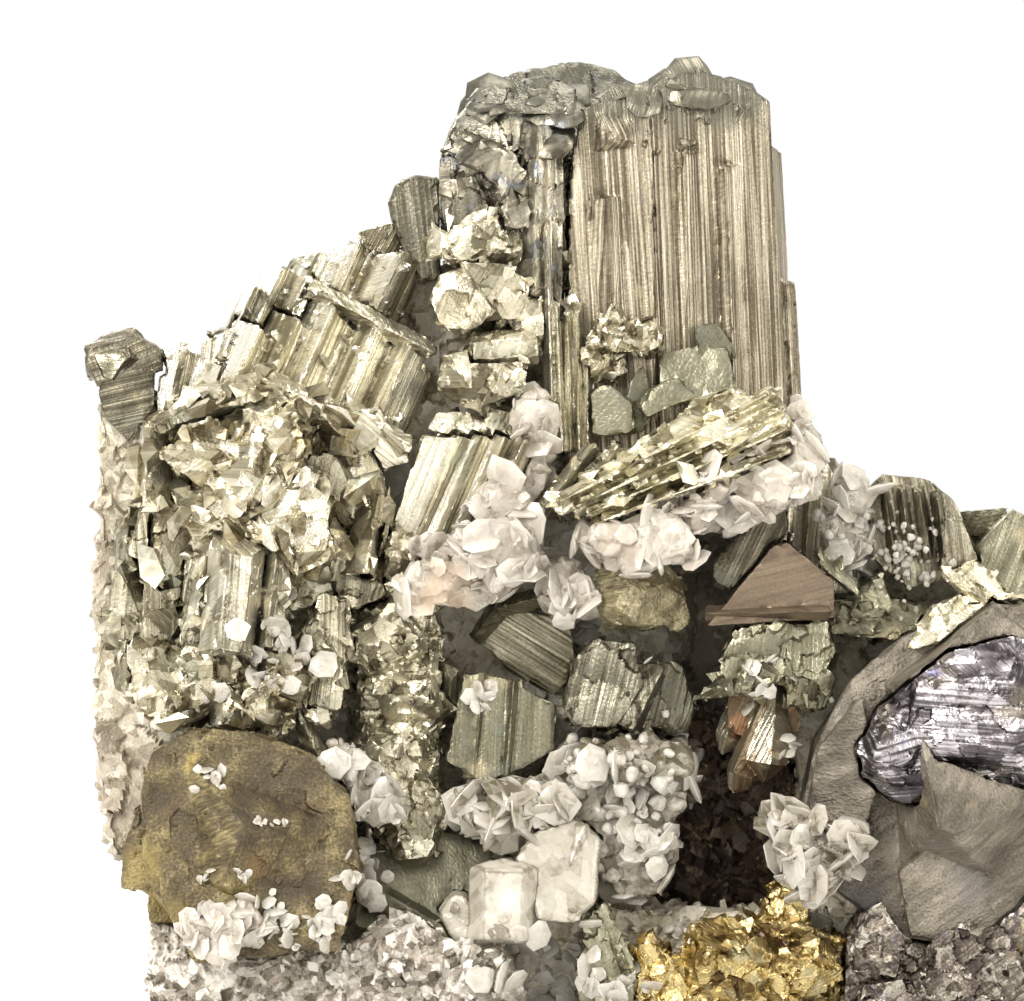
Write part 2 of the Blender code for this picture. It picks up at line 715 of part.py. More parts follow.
def left_edge_blades():
    """The pale green and purple plates down the left edge."""
    return [
        block(
            [(-50, 40.2), (-48.6, 44.6), (-46.8, 46.6), (-45.2, 40.6), (-47, 37.2), (-49.4, 37.6)],
            -9.6, 1, yaw=-22, chips=1,
        ),
        block(
            [(-46.2, 40.2), (-45.6, 43.4), (-42.8, 41.6), (-41.6, 39.4), (-44.6, 35.4), (-46, 37)],
            -12.6, -1, yaw=10, pitch=8,
        ),
        block(
            [(-46.2, 43.4), (-44.6, 45.4), (-41.6, 44.2), (-41, 42), (-43, 41.2)],
            -11.6, -1, yaw=-4, pitch=20,
        ),
        block([(-48.4, 36.4), (-46.6, 37.2), (-45.2, 33.2), (-46.8, 30.6), (-48.2, 33)], -9.8, 1, yaw=-8),
        block(
            [(-47.4, 46), (-46.4, 51), (-42.4, 49.6), (-41.6, 46), (-44, 44.8)],
            -11.0, -1, yaw=-14, pitch=10, chips=1,
        ),
        crystal((-47.6, -6.6, 36), (-47.2, -5.8, 50.8), 3.0, 7, RHOMB, SLANT_LEFT),
    ]


def lower_left_rubble():
    """Small broken crystals between the dusted block and the ore lump below it."""
    pick = random.Random(52)
    spots = (
        (-43.0, 32.8),
        (-39.0, 34.2),
        (-35.6, 31.8),
        (-31.8, 33.2),
    )
    return [
        lump((x, -11.8, z), (pick.uniform(7, 8.6), 10, pick.uniform(6.6, 8)), seed=200 + i, faces=8)
        for i, (x, z) in enumerate(spots)
    ]


def brown_blade():
    """The smooth dark blade beside the crumpled band, with its rusty edge."""
    return [
        block(
            [(-30, 31), (-30.2, 37.4), (-28.8, 40.2), (-27.2, 38), (-25.4, 34.4), (-25.8, 30.4)],
            -14.4, -1, yaw=-12,
        ),
        block(
            [(-28.6, 39.6), (-28, 42.2), (-25.2, 41.6), (-24.6, 35.6), (-26, 35)],
            -13.6, -1, yaw=16, pitch=6,
        ),
        crystal((-28, -13.4, 25.4), (-31.6, -12.2, 33.4), 2.2, 4.4, RHOMB, SLANT_LEFT),
    ]


def crumpled_band():
    """The upright band of crumpled, foil-like ore left of the middle."""
    pick = random.Random(61)
    forms = [block([(-23.4, 17), (-24.6, 34), (-23, 45.4), (-18.4, 46.6), (-15.6, 38), (-16, 18)], -8.6, 0)]
    for i in range(5):
        x = -20.0 + 1.3 * (-1) ** i + pick.uniform(-0.5, 0.5)
        z = 19.6 + 6.2 * i
        forms.append(lump((x, -9.4, z), (pick.uniform(6.6, 8.2), 6.4, 8.4), seed=300 + i, faces=8))
    return forms


def chalcopyrite_lump():
    """The big olive-brown lump of chalcopyrite at the lower left."""
    dome = [
        (-45.2, 14), (-45.8, 22), (-44.8, 26.6), (-40.6, 28.8), (-34, 28.4), (-28.6, 26.4),
        (-24.8, 22), (-23.8, 15), (-26, 7), (-40, 5.5),
    ]
    return [
        block(dome, CHALCOPYRITE_FACE, 0, pitch=6, yaw=-3),
        block([(-47.9, 12.6), (-47.8, 16.6), (-46.2, 21), (-42, 20), (-42.6, 12.4)], -16.5, -2, yaw=-16),
        block([(-45, 9.4), (-45, 14), (-40, 15), (-38, 9)], -17.4, -2),
        lump((-35, -14, 17), (19, 16.5, 20), seed=71, faces=14),
        crystal((-36.8, -20.6, 15.6), (-32.4, -20.9, 17.6), 1.8, 2.4, RHOMB, CHISEL),
    ]


def calcite_rosette():
    """The largest flower of calcite on the chalcopyrite."""
    forms = plates(
        [(-39.8, -22.2, 8.6), (-37.4, -22.8, 8.2), (-36, -22.2, 10.2)],
        4, 5.0, 1.8, seed=81, spread=0.4,
    )
    return [lump((-37.8, -21.6, 8.4), (6.4, 4.6, 5.6), seed=82, faces=10), *forms]


def calcite_patch_left():
    """The patch of calcite crystals between the ore lump and the crumpled band."""
    path = [(-27, -14.6, 26.4), (-25.2, -14.8, 23.6), (-23.4, -14.6, 21.2), (-20.4, -13.6, 21.6)]
    return [
        block([(-27.6, 24.6), (-26.6, 26.6), (-22, 23.2), (-19.8, 20.8), (-24, 19.8)], -13.4, -8.4),
        *plates(path, 3, 4.6, 1.8, seed=91, spread=0.5),
    ]


def calcite_foot_chain():
    """The string of calcite grains on the ore lump's lower right side."""
    path = [(-24.0, -15.5, 15.6), (-25.0, -16.6, 12.4), (-27, -17.6, 9.4), (-30, -17.8, 6.6)]
    return [
        block([(-26.4, 8), (-25, 15.4), (-22.4, 16), (-22.6, 12), (-24, 7), (-30, 4.6)], -14.6, -10),
        *plates(path, 3, 4.2, 2.0, seed=95, spread=0.4),
    ]


def slanted_prism():
    """The leaning striated prism in the middle, left of the calcite."""
    face = [(-20.8, 48.6), (-17.9, 58.2), (-10.4, 57.4), (-14.8, 47.6), (-19, 45.6)]
    lean = Vector((0.40, 0.05, 0.915))
    foot = Vector((-18.4, -9.6, 47.0))
    spacing, length = 2.1, 11.8
    ribs = []
    for i in range(4):
        start = foot + Vector((spacing * i, -0.3 * (i % 2), 0))
        end = foot + Vector((spacing * i, 0, 0)) + lean * length
        ribs.append(crystal(start, end, 2.5, 4.4, RHOMB, FLAT_END))
    return [block(face, -10.6, 0, yaw=4, pitch=4), *ribs]


def calcite_band():
    """The band of platy calcite that comes down the middle and swells at its foot."""
    path = [(-6.2, -7.4, 61.6), (-7.4, -10.4, 57.4), (-9.0, -13, 53.2), (-10.4, -15, 49.8)]
    foot = [(-18.4, -14.2, 45.6), (-15.4, -16, 43.6), (-11.6, -16.6, 44.6), (-7.6, -16, 46.8)]
    return [
        block(
            [(-7.4, 62), (-5.4, 62.4), (-5.2, 54), (-6.4, 46), (-11, 43.4), (-14.6, 45), (-11, 51)],
            -9.6, -5,
        ),
        block(
            [(-19.4, 46.6), (-14, 48.6), (-6, 50), (-5.4, 45), (-9, 42.2), (-15.2, 40.8), (-19.2, 43.4)],
            -14.6, -8, bevel=1.2, pitch=8,
        ),
        *plates(path, 2, 6.4, 2.2, seed=101),
        *plates(foot, 2, 7.4, 2.4, seed=102),
    ]


def tongue_blade():
    """The thick layered blade that juts forward and up to the right, in thin leaves."""
    leaves = []
    for i in range(4):
        drop = 1.15 * i
        start = Vector((-4.4 + 1.5 * i, -16.8 + 0.5 * i, 50.8 - 0.2 * drop))
        end = Vector((17.6 + 0.4 * i, -13.6 - 0.7 * i, 62.2 - 1.5 * drop))
        leaves.append(crystal(start, end, 2.3, 9.0 + i, RHOMB, CHISEL, roll=-8 + 5 * i))
    head = block(
        [(4, 56.6), (9.2, 61.2), (13.2, 62.6), (18, 60.9), (20.6, 57.4), (16, 55), (8, 54.6)],
        -18.6, -2, bevel=2.0, yaw=8, pitch=26,
    )
    body = block(
        [(-3, 51.4), (3.4, 57.2), (9, 60.6), (17.6, 60.2), (20, 56), (10, 54.2), (2, 51.6)],
        -14.4, 0, pitch=20,
    )
    return [body, head, *leaves]


def calcite_ledge():
    """The thick calcite crust under the blade."""
    low = [(-2.0, -18.6, 46.6), (2.4, -18.8, 47.2), (6.6, -18.6, 49.4), (11, -19, 51)]
    high = [(9.6, -19.4, 53), (13.6, -19.8, 53.4), (17.6, -18.6, 54), (20.6, -16, 56.8)]
    return [
        block([(-3, 47), (-2, 49.8), (8, 53.6), (9, 48.2), (0.4, 45.2)], -16.6, -11, bevel=1.2, pitch=-8),
        block(
            [(8, 48.4), (7.4, 54), (19.6, 58), (21.9, 55.4), (18, 50.8), (12.4, 48)],
            -17.2, -10, bevel=1.2, pitch=-4,
        ),
        block([(17.6, 54), (17.4, 59.4), (20.4, 60.2), (22, 57.6), (21.4, 53.6)], -13.6, -7),
        *plates(low, 3, 6.0, 2.4, seed=111),
        *plates(high, 3, 6.4, 2.6, seed=112),
    ]


def calcite_drip():
    """The small calcite group that hangs under the ledge's left end."""
    return [
        block([(-6.4, 45.6), (-2, 45), (-0.2, 41), (-3.6, 39.4), (-6, 42)], -13.4, -7, bevel=1.4),
    ]


def smooth_green_crystals():
    """The smooth rounded tabular crystals at the column's foot."""
    return [
        block(
            [(-2.4, 59.6), (-1.6, 62.6), (0.6, 63.4), (3.4, 61.2), (3.6, 58.4), (0.8, 57.6), (-1.6, 58)],
            -9.0, -3, yaw=-10,
        ),
        block([(2, 57.6), (3, 63.6), (4.6, 65.8), (5.4, 60), (4.6, 58)], -7.8, -3, yaw=12),
        block([(3.9, 60.8), (5.4, 63.2), (8, 63.9), (9.8, 61.8), (4.6, 59.6)], -9.4, -3, pitch=10),
        block(
            [(4.6, 62), (5.4, 66.2), (9.4, 67), (13, 66.8), (14, 62.6), (9, 61.4)],
            -6.6, -2, pitch=12, yaw=-4,
        ),
        block([(10, 66), (9.4, 68.8), (11.4, 69.8), (14, 66.6), (13, 62)], -6.0, -2, yaw=14, chips=1),
    ]


def foot_rubble():
    """Broken bits at the foot of the column, above the smooth crystals."""
    return [
        lump((-0.2, -6.4, 65.0), (3.6, 5.0, 4.0), seed=131, faces=9),
        lump((1.4, -6.4, 68.0), (4.4, 5.0, 4.6), seed=132, faces=9),
        lump((4.2, -6.4, 67.6), (3.6, 5.0, 3.6), seed=133, faces=8),
    ]


def green_shards():
    """Dark green shards between the calcite band and the blade."""
    lean = Vector((0.62, 0.1, 0.78))
    feet = ((-6.2, -9.6, 49.6, 9.4), (-3.6, -10.4, 49.8, 8.2), (-1.4, -9.4, 52.6, 5.4))
    shards = []
    for x, y, z, length in feet:
        foot = Vector((x, y, z))
        shards.append(crystal(foot, foot + lean * length, 2.2, 6, RHOMB, CHISEL))
    return shards


def upper_striated_block():
    """The striated block at the back of the middle cavity."""
    return [
        block(
            [(-11.8, 37), (-8.8, 40.4), (-3, 39.6), (-2.2, 34), (-4.4, 31.6), (-9, 34)],
            -5.2, 6, yaw=6, pitch=-6,
        ),
        crystal((-12.6, -6.2, 37.4), (-9.6, -5.4, 41.6), 2.0, 4.4, RHOMB, CHISEL),
        crystal((-10.2, -7.2, 40.6), (-4.0, -7.8, 42.2), 2.2, 6, RHOMB, CHISEL),
    ]


def striated_block():
    """The broad striated face in front of the cavity."""
    face = [(-15.4, 25.4), (-13.6, 34.4), (-9.4, 33.6), (-4.2, 31), (-4.4, 26.6), (-8, 24.4), (-12, 23.4)]
    return [
        block(face, -12.4, 2, yaw=4, pitch=4),
        crystal((-12.6, -11.4, 23.6), (-11.6, -11.0, 34.2), 2.6, 3.6, RHOMB, FLAT_END),
        crystal((-9.4, -11.6, 23.6), (-8.6, -11.2, 33.6), 2.4, 3.6, RHOMB, FLAT_END),
        block([(-16.4, 31.4), (-16, 35.4), (-14, 34.6), (-14.2, 30.6)], -10.8, 0, bevel=1.2, yaw=-14),
    ]


def dark_block():
    """The big dark crystals right of the cavity, one with a bright bevelled edge."""
    return [
        block(
            [(-4, 31), (-2.6, 35.4), (-0.8, 37.8), (3.4, 37.2), (4.4, 33.4), (1.4, 28.6), (-2.4, 28.8)],
            -14.0, 1, yaw=-12, pitch=6,
        ),
        crystal((2.4, -13.4, 28.6), (5.6, -12.6, 35.4), 3.6, 5.4, RHOMB, CHISEL, roll=22),
        block([(4, 28.8), (5.4, 35.4), (8, 35.2), (9.6, 31), (8.8, 28)], -12.4, 1, yaw=16, chips=1),
        block([(1.4, 25.6), (1.8, 28.4), (5.2, 28.2), (5.4, 25)], -13.6, 0, pitch=-8),
    ]


def golden_lump():
    """The rounded brassy lump under the ledge."""
    return [
        lump((3.8, -9.6, 41.7), (8.6, 11, 6.4), seed=141, faces=14),
        block([(6, 39), (6, 44), (8.2, 43), (9.2, 39.6), (7.8, 38.2)], -11.4, 0, yaw=18),
    ]


def red_prism():
    """The reddish brown triangular crystal face right of the middle."""
    face = [(10.6, 38.9), (17.2, 46.9), (18.6, 47.4), (23.2, 43.6), (23.6, 39.7)]
    return [
        block(face, -15.4, -1, yaw=4, pitch=-4),
        crystal((10.4, -14.6, 40.2), (23.2, -14.9, 40.4), 1.8, 3.2, RHOMB, CHISEL),
    ]


def hook_crystal():
    """The dark rounded hook between the ledge and the triangular crystal."""
    return [
        block(
            [
                (11.2, 43.4), (11.4, 45.6), (15, 49.6), (18.6, 51.6), (18.8, 48.6),
                (15.6, 43.6), (13.2, 42.4),
            ],
            -12.4, 2, yaw=-10,
        ),
        crystal((8.6, -10.6, 40.4), (9.4, -10.0, 47.6), 2.4, 6, RHOMB, CHISEL),
        lump((10.6, -11.6, 40.4), (2.8, 5, 3.0), seed=151, faces=9),
    ]


def green_cluster():
    """The grey green crystals under the triangular one."""
    return [
        block(
            [(12.4, 32.6), (12, 36), (14, 39), (18.4, 39.2), (18.8, 34.4), (16, 31.6)],
            -15.6, 0, yaw=-8, pitch=4,
        ),
        block(
            [(17.6, 35), (18.4, 39.4), (22.6, 39.6), (23.8, 36.4), (21.4, 33.4)],
            -14.6, 0, yaw=8, pitch=10,
        ),
        block(
            [(18.6, 30.8), (18.4, 34.4), (22, 35.2), (24, 33.6), (22.4, 30.4)],
            -13.4, 0, yaw=10, pitch=-8,
        ),
        block([(9.6, 31.4), (11.8, 34), (14.4, 34.6), (14, 31.8)], -14.6, 0, bevel=1.2, yaw=-12),
        lump((15.9, -15.6, 33.9), (3.6, 3.8, 3.6), seed=161, faces=10, roughness=0.08),
    ]


def dogtooth_crystals():
    """The pointed crystals that hang into the hollow."""
    return [
        crystal((17.6, -9.4, 32.4), (13.1, -13.6, 21.9), 3.4, 4.2, RHOMB, POINT, roll=16),
        crystal((17.4, -9.0, 33.0), (16.6, -14.4, 24.0), 4.6, 4.6, RHOMB, CHISEL, roll=-10),
        crystal((14.6, -7.8, 32.6), (12.2, -11.0, 25.9), 3.0, 3.4, RHOMB, POINT),
        block([(12.6, 28.4), (12.8, 32.6), (19.6, 32.8), (20.2, 28.6), (17, 27)], -11.0, 2),
    ]


def back_pillar():
    """The green striated pillar behind the ledge's right end."""
    return [
        block([(19.6, 42), (20.6, 58), (22, 57), (24.4, 53), (25.4, 50), (25.6, 42)], -3.4, 8, yaw=8),
        crystal((19.2, -5.4, 43), (19.8, -4.6, 54.2), 3.2, 5, RHOMB, SLANT_RIGHT),
        crystal((16.4, -7.4, 44), (18.0, -6.4, 52.4), 3.6, 4, RHOMB, SLANT_LEFT),
    ]


def calcite_tuft():
    """The glassy calcite at the left side of the ribbed crystal."""
    path = [(26.0, -7.6, 52.8), (24.8, -7.8, 50), (24.4, -8, 47), (25.2, -8, 44.8)]
    return [
        block([(24, 52), (26.8, 54), (27.4, 49), (26.6, 44), (24, 44.6), (23.6, 48)], -6.6, -2),
        *plates(path, 3, 4.0, 2.2, seed=171, spread=0.4),
    ]


def small_bright_blades():
    """The small bright blades right of the triangular crystal."""
    return [
        crystal((25.8, -9.6, 42.6), (21.6, -11.0, 45.9), 1.7, 3.4, RHOMB, CHISEL),
        block([(25, 39.6), (25.6, 42.8), (28.4, 43.8), (29.4, 41), (28.2, 39.6)], -9.4, 2, yaw=-8, pitch=6),
        block([(23, 38), (23.4, 41.6), (30.6, 41.6), (34, 40.6), (30, 37.4)], -8.2, 3, pitch=16),
    ]


def ribbed_crystal():
    """The dark ribbed crystal at the upper right."""
    body = [
        (27, 46), (27.2, 53), (28.4, 54.1), (33, 53.7), (35.6, 51.6), (36.6, 49.6), (37.2, 44), (31, 42.6)
    ]
    ribs = []
    for i in range(4):
        foot = (29.6 + 1.7 * i, -6.2, 45.6)
        top = (28.4 + 1.8 * i, -5.4, 53.4 - 0.1 * i * i)
        ribs.append(crystal(foot, top, 1.5, 3.2, RHOMB, SLANT_FRONT))
    return [
        block(body, -5.8, 6, yaw=6, pitch=4),
        *ribs,
        block([(34.2, 44), (34.6, 49.8), (36.6, 49.4), (38.2, 45.4)], -7.0, 2, yaw=18),
    ]


def far_right_crystal():
    """The large grey green striated crystal at the far right."""
    return [
        block(
            [(36, 40), (37, 46), (41.6, 50.6), (47, 48), (52.2, 44.4), (52.4, 36), (42, 35)],
            -3.4, 9, yaw=14, pitch=6,
        ),
        block([(35.6, 44), (36.4, 50.4), (41.4, 50.8), (40.4, 44)], 0.6, 9, yaw=-14),
        crystal((44.8, -3.2, 38), (44.0, -1.8, 49.9), 4.0, 5, RHOMB, SLANT_RIGHT, roll=8),
        crystal((49.6, -1.8, 37), (48.8, -0.6, 46.8), 4.4, 5, RHOMB, SLANT_RIGHT, roll=-6),
    ]


def pyrite_patch():
    """The cream coloured, cleaved patch above the dark dome, in two steps."""
    return [
        block(
            [(30.4, 36.6), (33, 40.8), (36.2, 42.2), (40.2, 40.4), (39.4, 38.4), (34.4, 37)],
            -14.6, -2, pitch=26, yaw=-6,
        ),
        block([(34.4, 43.6), (37, 45.6), (39, 44.4), (40.8, 41.8), (38, 41.4)], -12.4, -2, pitch=18, yaw=8),
        block([(38.6, 40), (40, 42.4), (43.4, 41.8), (42.8, 39.8)], -13.4, -2, pitch=22),
        crystal((34.0, -13.6, 44.6), (39.2, -13.2, 41.0), 1.4, 3, RHOMB, CHISEL),
    ]


def dark_dome():
    """The smooth grey brown mass at the right, which wraps round the galena."""
    arch = [
        (19.8, 20), (21.4, 27.6), (25, 33.4), (30.4, 38), (37, 41), (44, 41.6), (50.6, 37),
        (53, 28), (52, 14), (42, 7), (30, 8), (23, 13),
    ]
    return [
        block(arch, -15.6, 4, yaw=-4, pitch=8),
        block([(20.4, 21), (21.6, 27), (26, 32), (28, 24), (25, 15), (21.6, 15)], -17.6, 0, yaw=-22),
        lump((40, -8, 24), (27, 26, 32), seed=181, faces=12),
        block(
            [(30.6, 8), (29.6, 14.6), (38, 21.6), (47, 20), (44, 13.4), (37, 7.4)],
            -20.4, -4, yaw=6, pitch=-10,
        ),
    ]


def galena_lens():
    """The bright striated lens of galena set in the dark dome."""
    lens = [
        (25.6, 27), (27.6, 31), (34.4, 36.4), (41, 38), (47.4, 35.4), (50, 28), (46, 23),
        (36, 21), (29, 21.6), (26, 24),
    ]
    return [
        block(lens, GALENA_FACE - 1.4, -12, bevel=2.0, yaw=-5, pitch=4),
        lump((29.2, -20.2, 26.8), (7.4, 6.4, 6.0), seed=191, faces=14, roughness=0.1),
        lump((39, -19.4, 29.6), (19, 10, 14), seed=192, faces=18, roughness=0.12),
    ]


def galena_foot():
    """The metallic broken mass along the lower right edge."""
    return [
        block(
            [(24, 0), (24.4, 8), (29, 13.6), (36, 9.6), (46, 16), (52.4, 14), (52.6, 0)],
            -17.2, 0, pitch=6,
        ),
        block([(24.8, 4.6), (25.4, 10.4), (28, 11.8), (30.4, 7.4), (29.4, 4)], -19.4, -6, yaw=-10, chips=1),
        block([(31.6, 2), (33, 8), (42, 12.6), (46.6, 10), (46, 1.6)], -19.6, -6, yaw=8, chips=1),
        block(
            [(24, 16), (26, 18.4), (31.6, 20.6), (34.6, 20.2), (31, 15.2), (27, 13.8)],
            -19.0, -6, pitch=10,
        ),
        block([(25.4, 0), (26, 3.4), (31, 4), (33.6, 0)], -19.4, -6),
    ]


def bright_chalcopyrite():
    """The bright gold chalcopyrite at the mouth of the hollow."""
    return [
        block(
            [(4, 0), (6.4, 4.4), (13, 9.6), (20, 9.4), (25, 7.6), (25.4, 0)],
            -15.6, -2, pitch=16, chips=1,
        ),
        lump((13.4, -14.8, 5.4), (11, 8, 8), seed=201, faces=12),
        lump((20.4, -15.2, 5.0), (9, 8, 7), seed=202, faces=12),
        block([(15.4, 8.6), (17, 12.6), (19.2, 13), (21, 10.8), (20, 8)], -13.4, -4),
        block([(1, 0), (1.6, 5), (5.2, 8.6), (8.6, 3), (8.6, 0)], -15.8, -2, yaw=-8, chips=1),
    ]


def hollow_crust():
    """The crust of small dark crystals that lines the back of the hollow."""
    pick = random.Random(211)
    forms = [block([(4, 9), (5, 30), (20, 31), (22, 9)], 7.6, 14)]
    for i in range(5):
        x = 8.4 + 8.6 * (i % 2) + pick.uniform(-1, 1)
        z = 12.6 + 3.6 * i
        forms.append(lump((x, 7.4, z), (8.4, 5.4, 8.0), seed=220 + i, faces=9))
    return forms


def calcite_barrel():
    """The stout six-sided calcite crystal low in front."""
    return [
        crystal(
            (-9.8, -16.2, 7.6), (-9.6, -16.0, 15.7), 7.0, 6.6, HEXAGON, ((0, 18), (180, 16), (270, 22))
        ),
        block(
            [(-16.2, 10.6), (-14.6, 12.4), (-13.4, 12.2), (-11.8, 6.8), (-14.6, 7.6)],
            -16.4, -8, yaw=-14,
        ),
    ]


def calcite_slant_block():
    """The large leaning calcite block beside the barrel."""
    return [
        block(
            [(-8.4, 15.6), (-6.4, 18.4), (-2.4, 19.6), (0, 17.8), (-0.6, 11.4), (-2.6, 9.4), (-5.8, 9.6)],
            -16.6, -2, yaw=6, pitch=12,
        ),
        crystal((-5.6, -14.6, 10.4), (-2.0, -13.6, 19.2), 4.6, 5.0, RHOMB, CHISEL, roll=18),
    ]


def calcite_fan():
    """The fan of calcite plates under the striated block."""
    path = [(-13.2, -14.6, 20.6), (-10.4, -14.8, 20.4), (-7.4, -14.6, 20.6), (-5.4, -14.4, 22)]
    return [
        block([(-14.6, 19.6), (-12, 22.6), (-5.4, 22.8), (-4.8, 19.6), (-9, 18.6)], -12.8, -7, pitch=10),
        *plates(path, 4, 4.6, 1.6, seed=231, spread=0.4),
    ]


def calcite_beads():
    """The chain of calcite crystals left of the hollow, from the dark block down to the foot."""
    upper = [(-3.2, -14.6, 26), (0, -15.2, 25.6), (3.8, -15, 26.4), (7, -14.8, 26.6), (7.6, -14.2, 24.4)]
    lower = [(0.8, -15.6, 22), (2.2, -16.2, 19.8), (5.2, -15.6, 18.2), (3.4, -15, 14.6), (5.4, -14.6, 12.6)]
    return [
        block(
            [
                (-4.8, 22.6), (-3.6, 27.4), (3, 27.8), (8.6, 28), (8.8, 23.6), (6, 17),
                (6, 11.6), (2, 11.6), (-0.4, 19.8),
            ],
            -12.6, -4,
        ),
        *plates(upper, 3, 5.4, 2.4, seed=241, spread=0.5),
        *plates(lower, 3, 5.4, 2.4, seed=242, spread=0.5),
    ]


def green_wedge():
    """The grey green wedge at the lower edge, right of the calcite."""
    return [
        block([(-2.6, 0), (-1.6, 9.4), (0.4, 11.4), (3.6, 5.2), (3.2, 0)], -15.4, -1, yaw=-10, pitch=-6),
        crystal((2.6, -14.8, 4.2), (-1.0, -13.0, 10.8), 2.2, 4.6, RHOMB, CHISEL),
        block([(-8.8, 0), (-8.4, 7.4), (-3.4, 8.8), (-2.4, 0)], -13.2, -1, yaw=8),
    ]


def calcite_right_cluster():
    """The cluster of calcite plates at the right lip of the hollow."""
    path = [
        (18.4, -18.4, 18.6), (19.4, -19.8, 16.4), (22, -21.0, 17.2), (24.6, -21.0, 17), (20.6, -19.4, 13.6)
    ]
    return [
        block(
            [(17.4, 18.2), (18, 21), (22, 19.6), (26, 18.4), (25.6, 14.6), (20, 12.6), (18, 14.8)],
            -19.6, -13,
        ),
        *plates(path, 4, 6.0, 2.2, seed=251, spread=0.5),
    ]


def back_prisms():
    """A spray of striated prisms that lean apart on the back of the rock."""
    root = Vector((-13, 19, 32))
    tips = ((-27, 28, 45, 8.0), (-18, 30.0, 55, 9.0), (-6, 30, 51, 8.0))
    return [
        crystal(root, (x, y, z), width, width * 0.9, RHOMB, ((90, 34), (0, 0)), roll=15 * i)
        for i, (x, y, z, width) in enumerate(tips)
    ]


def main():
    clear_scene()
    specimen = Specimen("arsenopyrite_specimen")
    add = specimen.add
    add("back_prisms", back_prisms(), "arsenopyrite")
    add("matrix_rock", matrix_rock(), "rock")
    add("tall_column_main", tall_column_main(), "arsenopyrite")
    add("tall_column_left", tall_column_left(), "arsenopyrite")
    add("red_prism", red_prism(), "pyrrhotite")
    add("galena_lens", galena_lens(), "galena")
    add("dark_dome", dark_dome(), "sphalerite")
    add("chalcopyrite_lump", chalcopyrite_lump(), "chalcopyrite")
    add("slanted_prism", slanted_prism(), "arsenopyrite")
    add("striated_block", striated_block(), "arsenopyrite")
    add("dark_block", dark_block(), "dark_arsenopyrite")
    add("calcite_barrel", calcite_barrel(), "calcite")
    add("calcite_slant_block", calcite_slant_block(), "calcite")
    add("small_blade", small_blade(), "dark_arsenopyrite")
    add("tongue_blade", tongue_blade(), "arsenopyrite")
    add("dusted_block", dusted_block(), "arsenopyrite")
    add("dogtooth_crystals", dogtooth_crystals(), "pyrrhotite")
    add("golden_lump", golden_lump(), "chalcopyrite")
    add("fluted_prism", fluted_prism(), "arsenopyrite")
    add("broken_block_upper", broken_block_upper(), "arsenopyrite")
    add("white_faced_block", white_faced_block(), "arsenopyrite")
    add("pale_green_block", pale_green_block(), "arsenopyrite")
    add("rim_crystal", rim_crystal(), "arsenopyrite")
    add("knob_crystal", knob_crystal(), "dark_arsenopyrite")
    add("bright_plate", bright_plate(), "arsenopyrite")
    add("brown_blade", [*brown_blade(), *brown_side_block()], "dark_arsenopyrite")
    add("left_edge_blades", left_edge_blades(), "arsenopyrite")
    add("ribbed_crystal", ribbed_crystal(), "dark_arsenopyrite")
    add("far_right_crystal", far_right_crystal(), "dark_arsenopyrite")
    add("stepped_prisms_lower", stepped_prisms_lower(), "arsenopyrite")
    add("stepped_prisms_upper", stepped_prisms_upper(), "arsenopyrite")
    add("wedge_block", wedge_block(), "dark_arsenopyrite")
    add("smooth_green_crystals", smooth_green_crystals(), "dark_arsenopyrite")
    add("green_cluster", green_cluster(), "dark_arsenopyrite")
    add("hook_crystal", hook_crystal(), "dark_arsenopyrite")
    add("back_pillar", back_pillar(), "dark_arsenopyrite")
    add("upper_striated_block", upper_striated_block(), "arsenopyrite")
    add("green_shards", green_shards(), "dark_arsenopyrite")
    add("pyrite_patch", pyrite_patch(), "pyrite")
    add("small_bright_blades", small_bright_blades(), "dark_arsenopyrite")
    add("galena_foot", galena_foot(), "galena")
    add("grey_foot_crystal", grey_foot_crystal(), "dark_arsenopyrite")
    add("green_wedge", green_wedge(), "dark_arsenopyrite")
    add("crumpled_band", crumpled_band(), "arsenopyrite")
    add("lower_left_rubble", lower_left_rubble(), "arsenopyrite")
    add("crater_blocks", crater_blocks(), "arsenopyrite")
    add("foot_rubble", foot_rubble(), "arsenopyrite")
    add("bright_chalcopyrite", bright_chalcopyrite(), "bright_chalcopyrite")
    add("quartz_foot", [*quartz_foot(), *breccia_foot()], "pale_rock")
    add("hollow_crust", hollow_crust(), "dark_arsenopyrite")
    add("calcite_ledge", calcite_ledge(), "calcite")
    add("calcite_band", [*calcite_band(), *calcite_drip()], "calcite")
    add("calcite_right_cluster", calcite_right_cluster(), "calcite")
    add("calcite_beads", calcite_beads(), "calcite")
    add("calcite_fan", calcite_fan(), "calcite")
    add("calcite_patch_left", [*calcite_patch_left(), *calcite_foot_chain()], "calcite")
    add("calcite_rosette", calcite_rosette(), "calcite")
    add("calcite_tuft", calcite_tuft(), "calcite")


main()
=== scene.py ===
import itertools
import math

import bmesh
import bpy
import numpy as np
from mathutils import Euler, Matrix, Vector
from mathutils.bvhtree import BVHTree


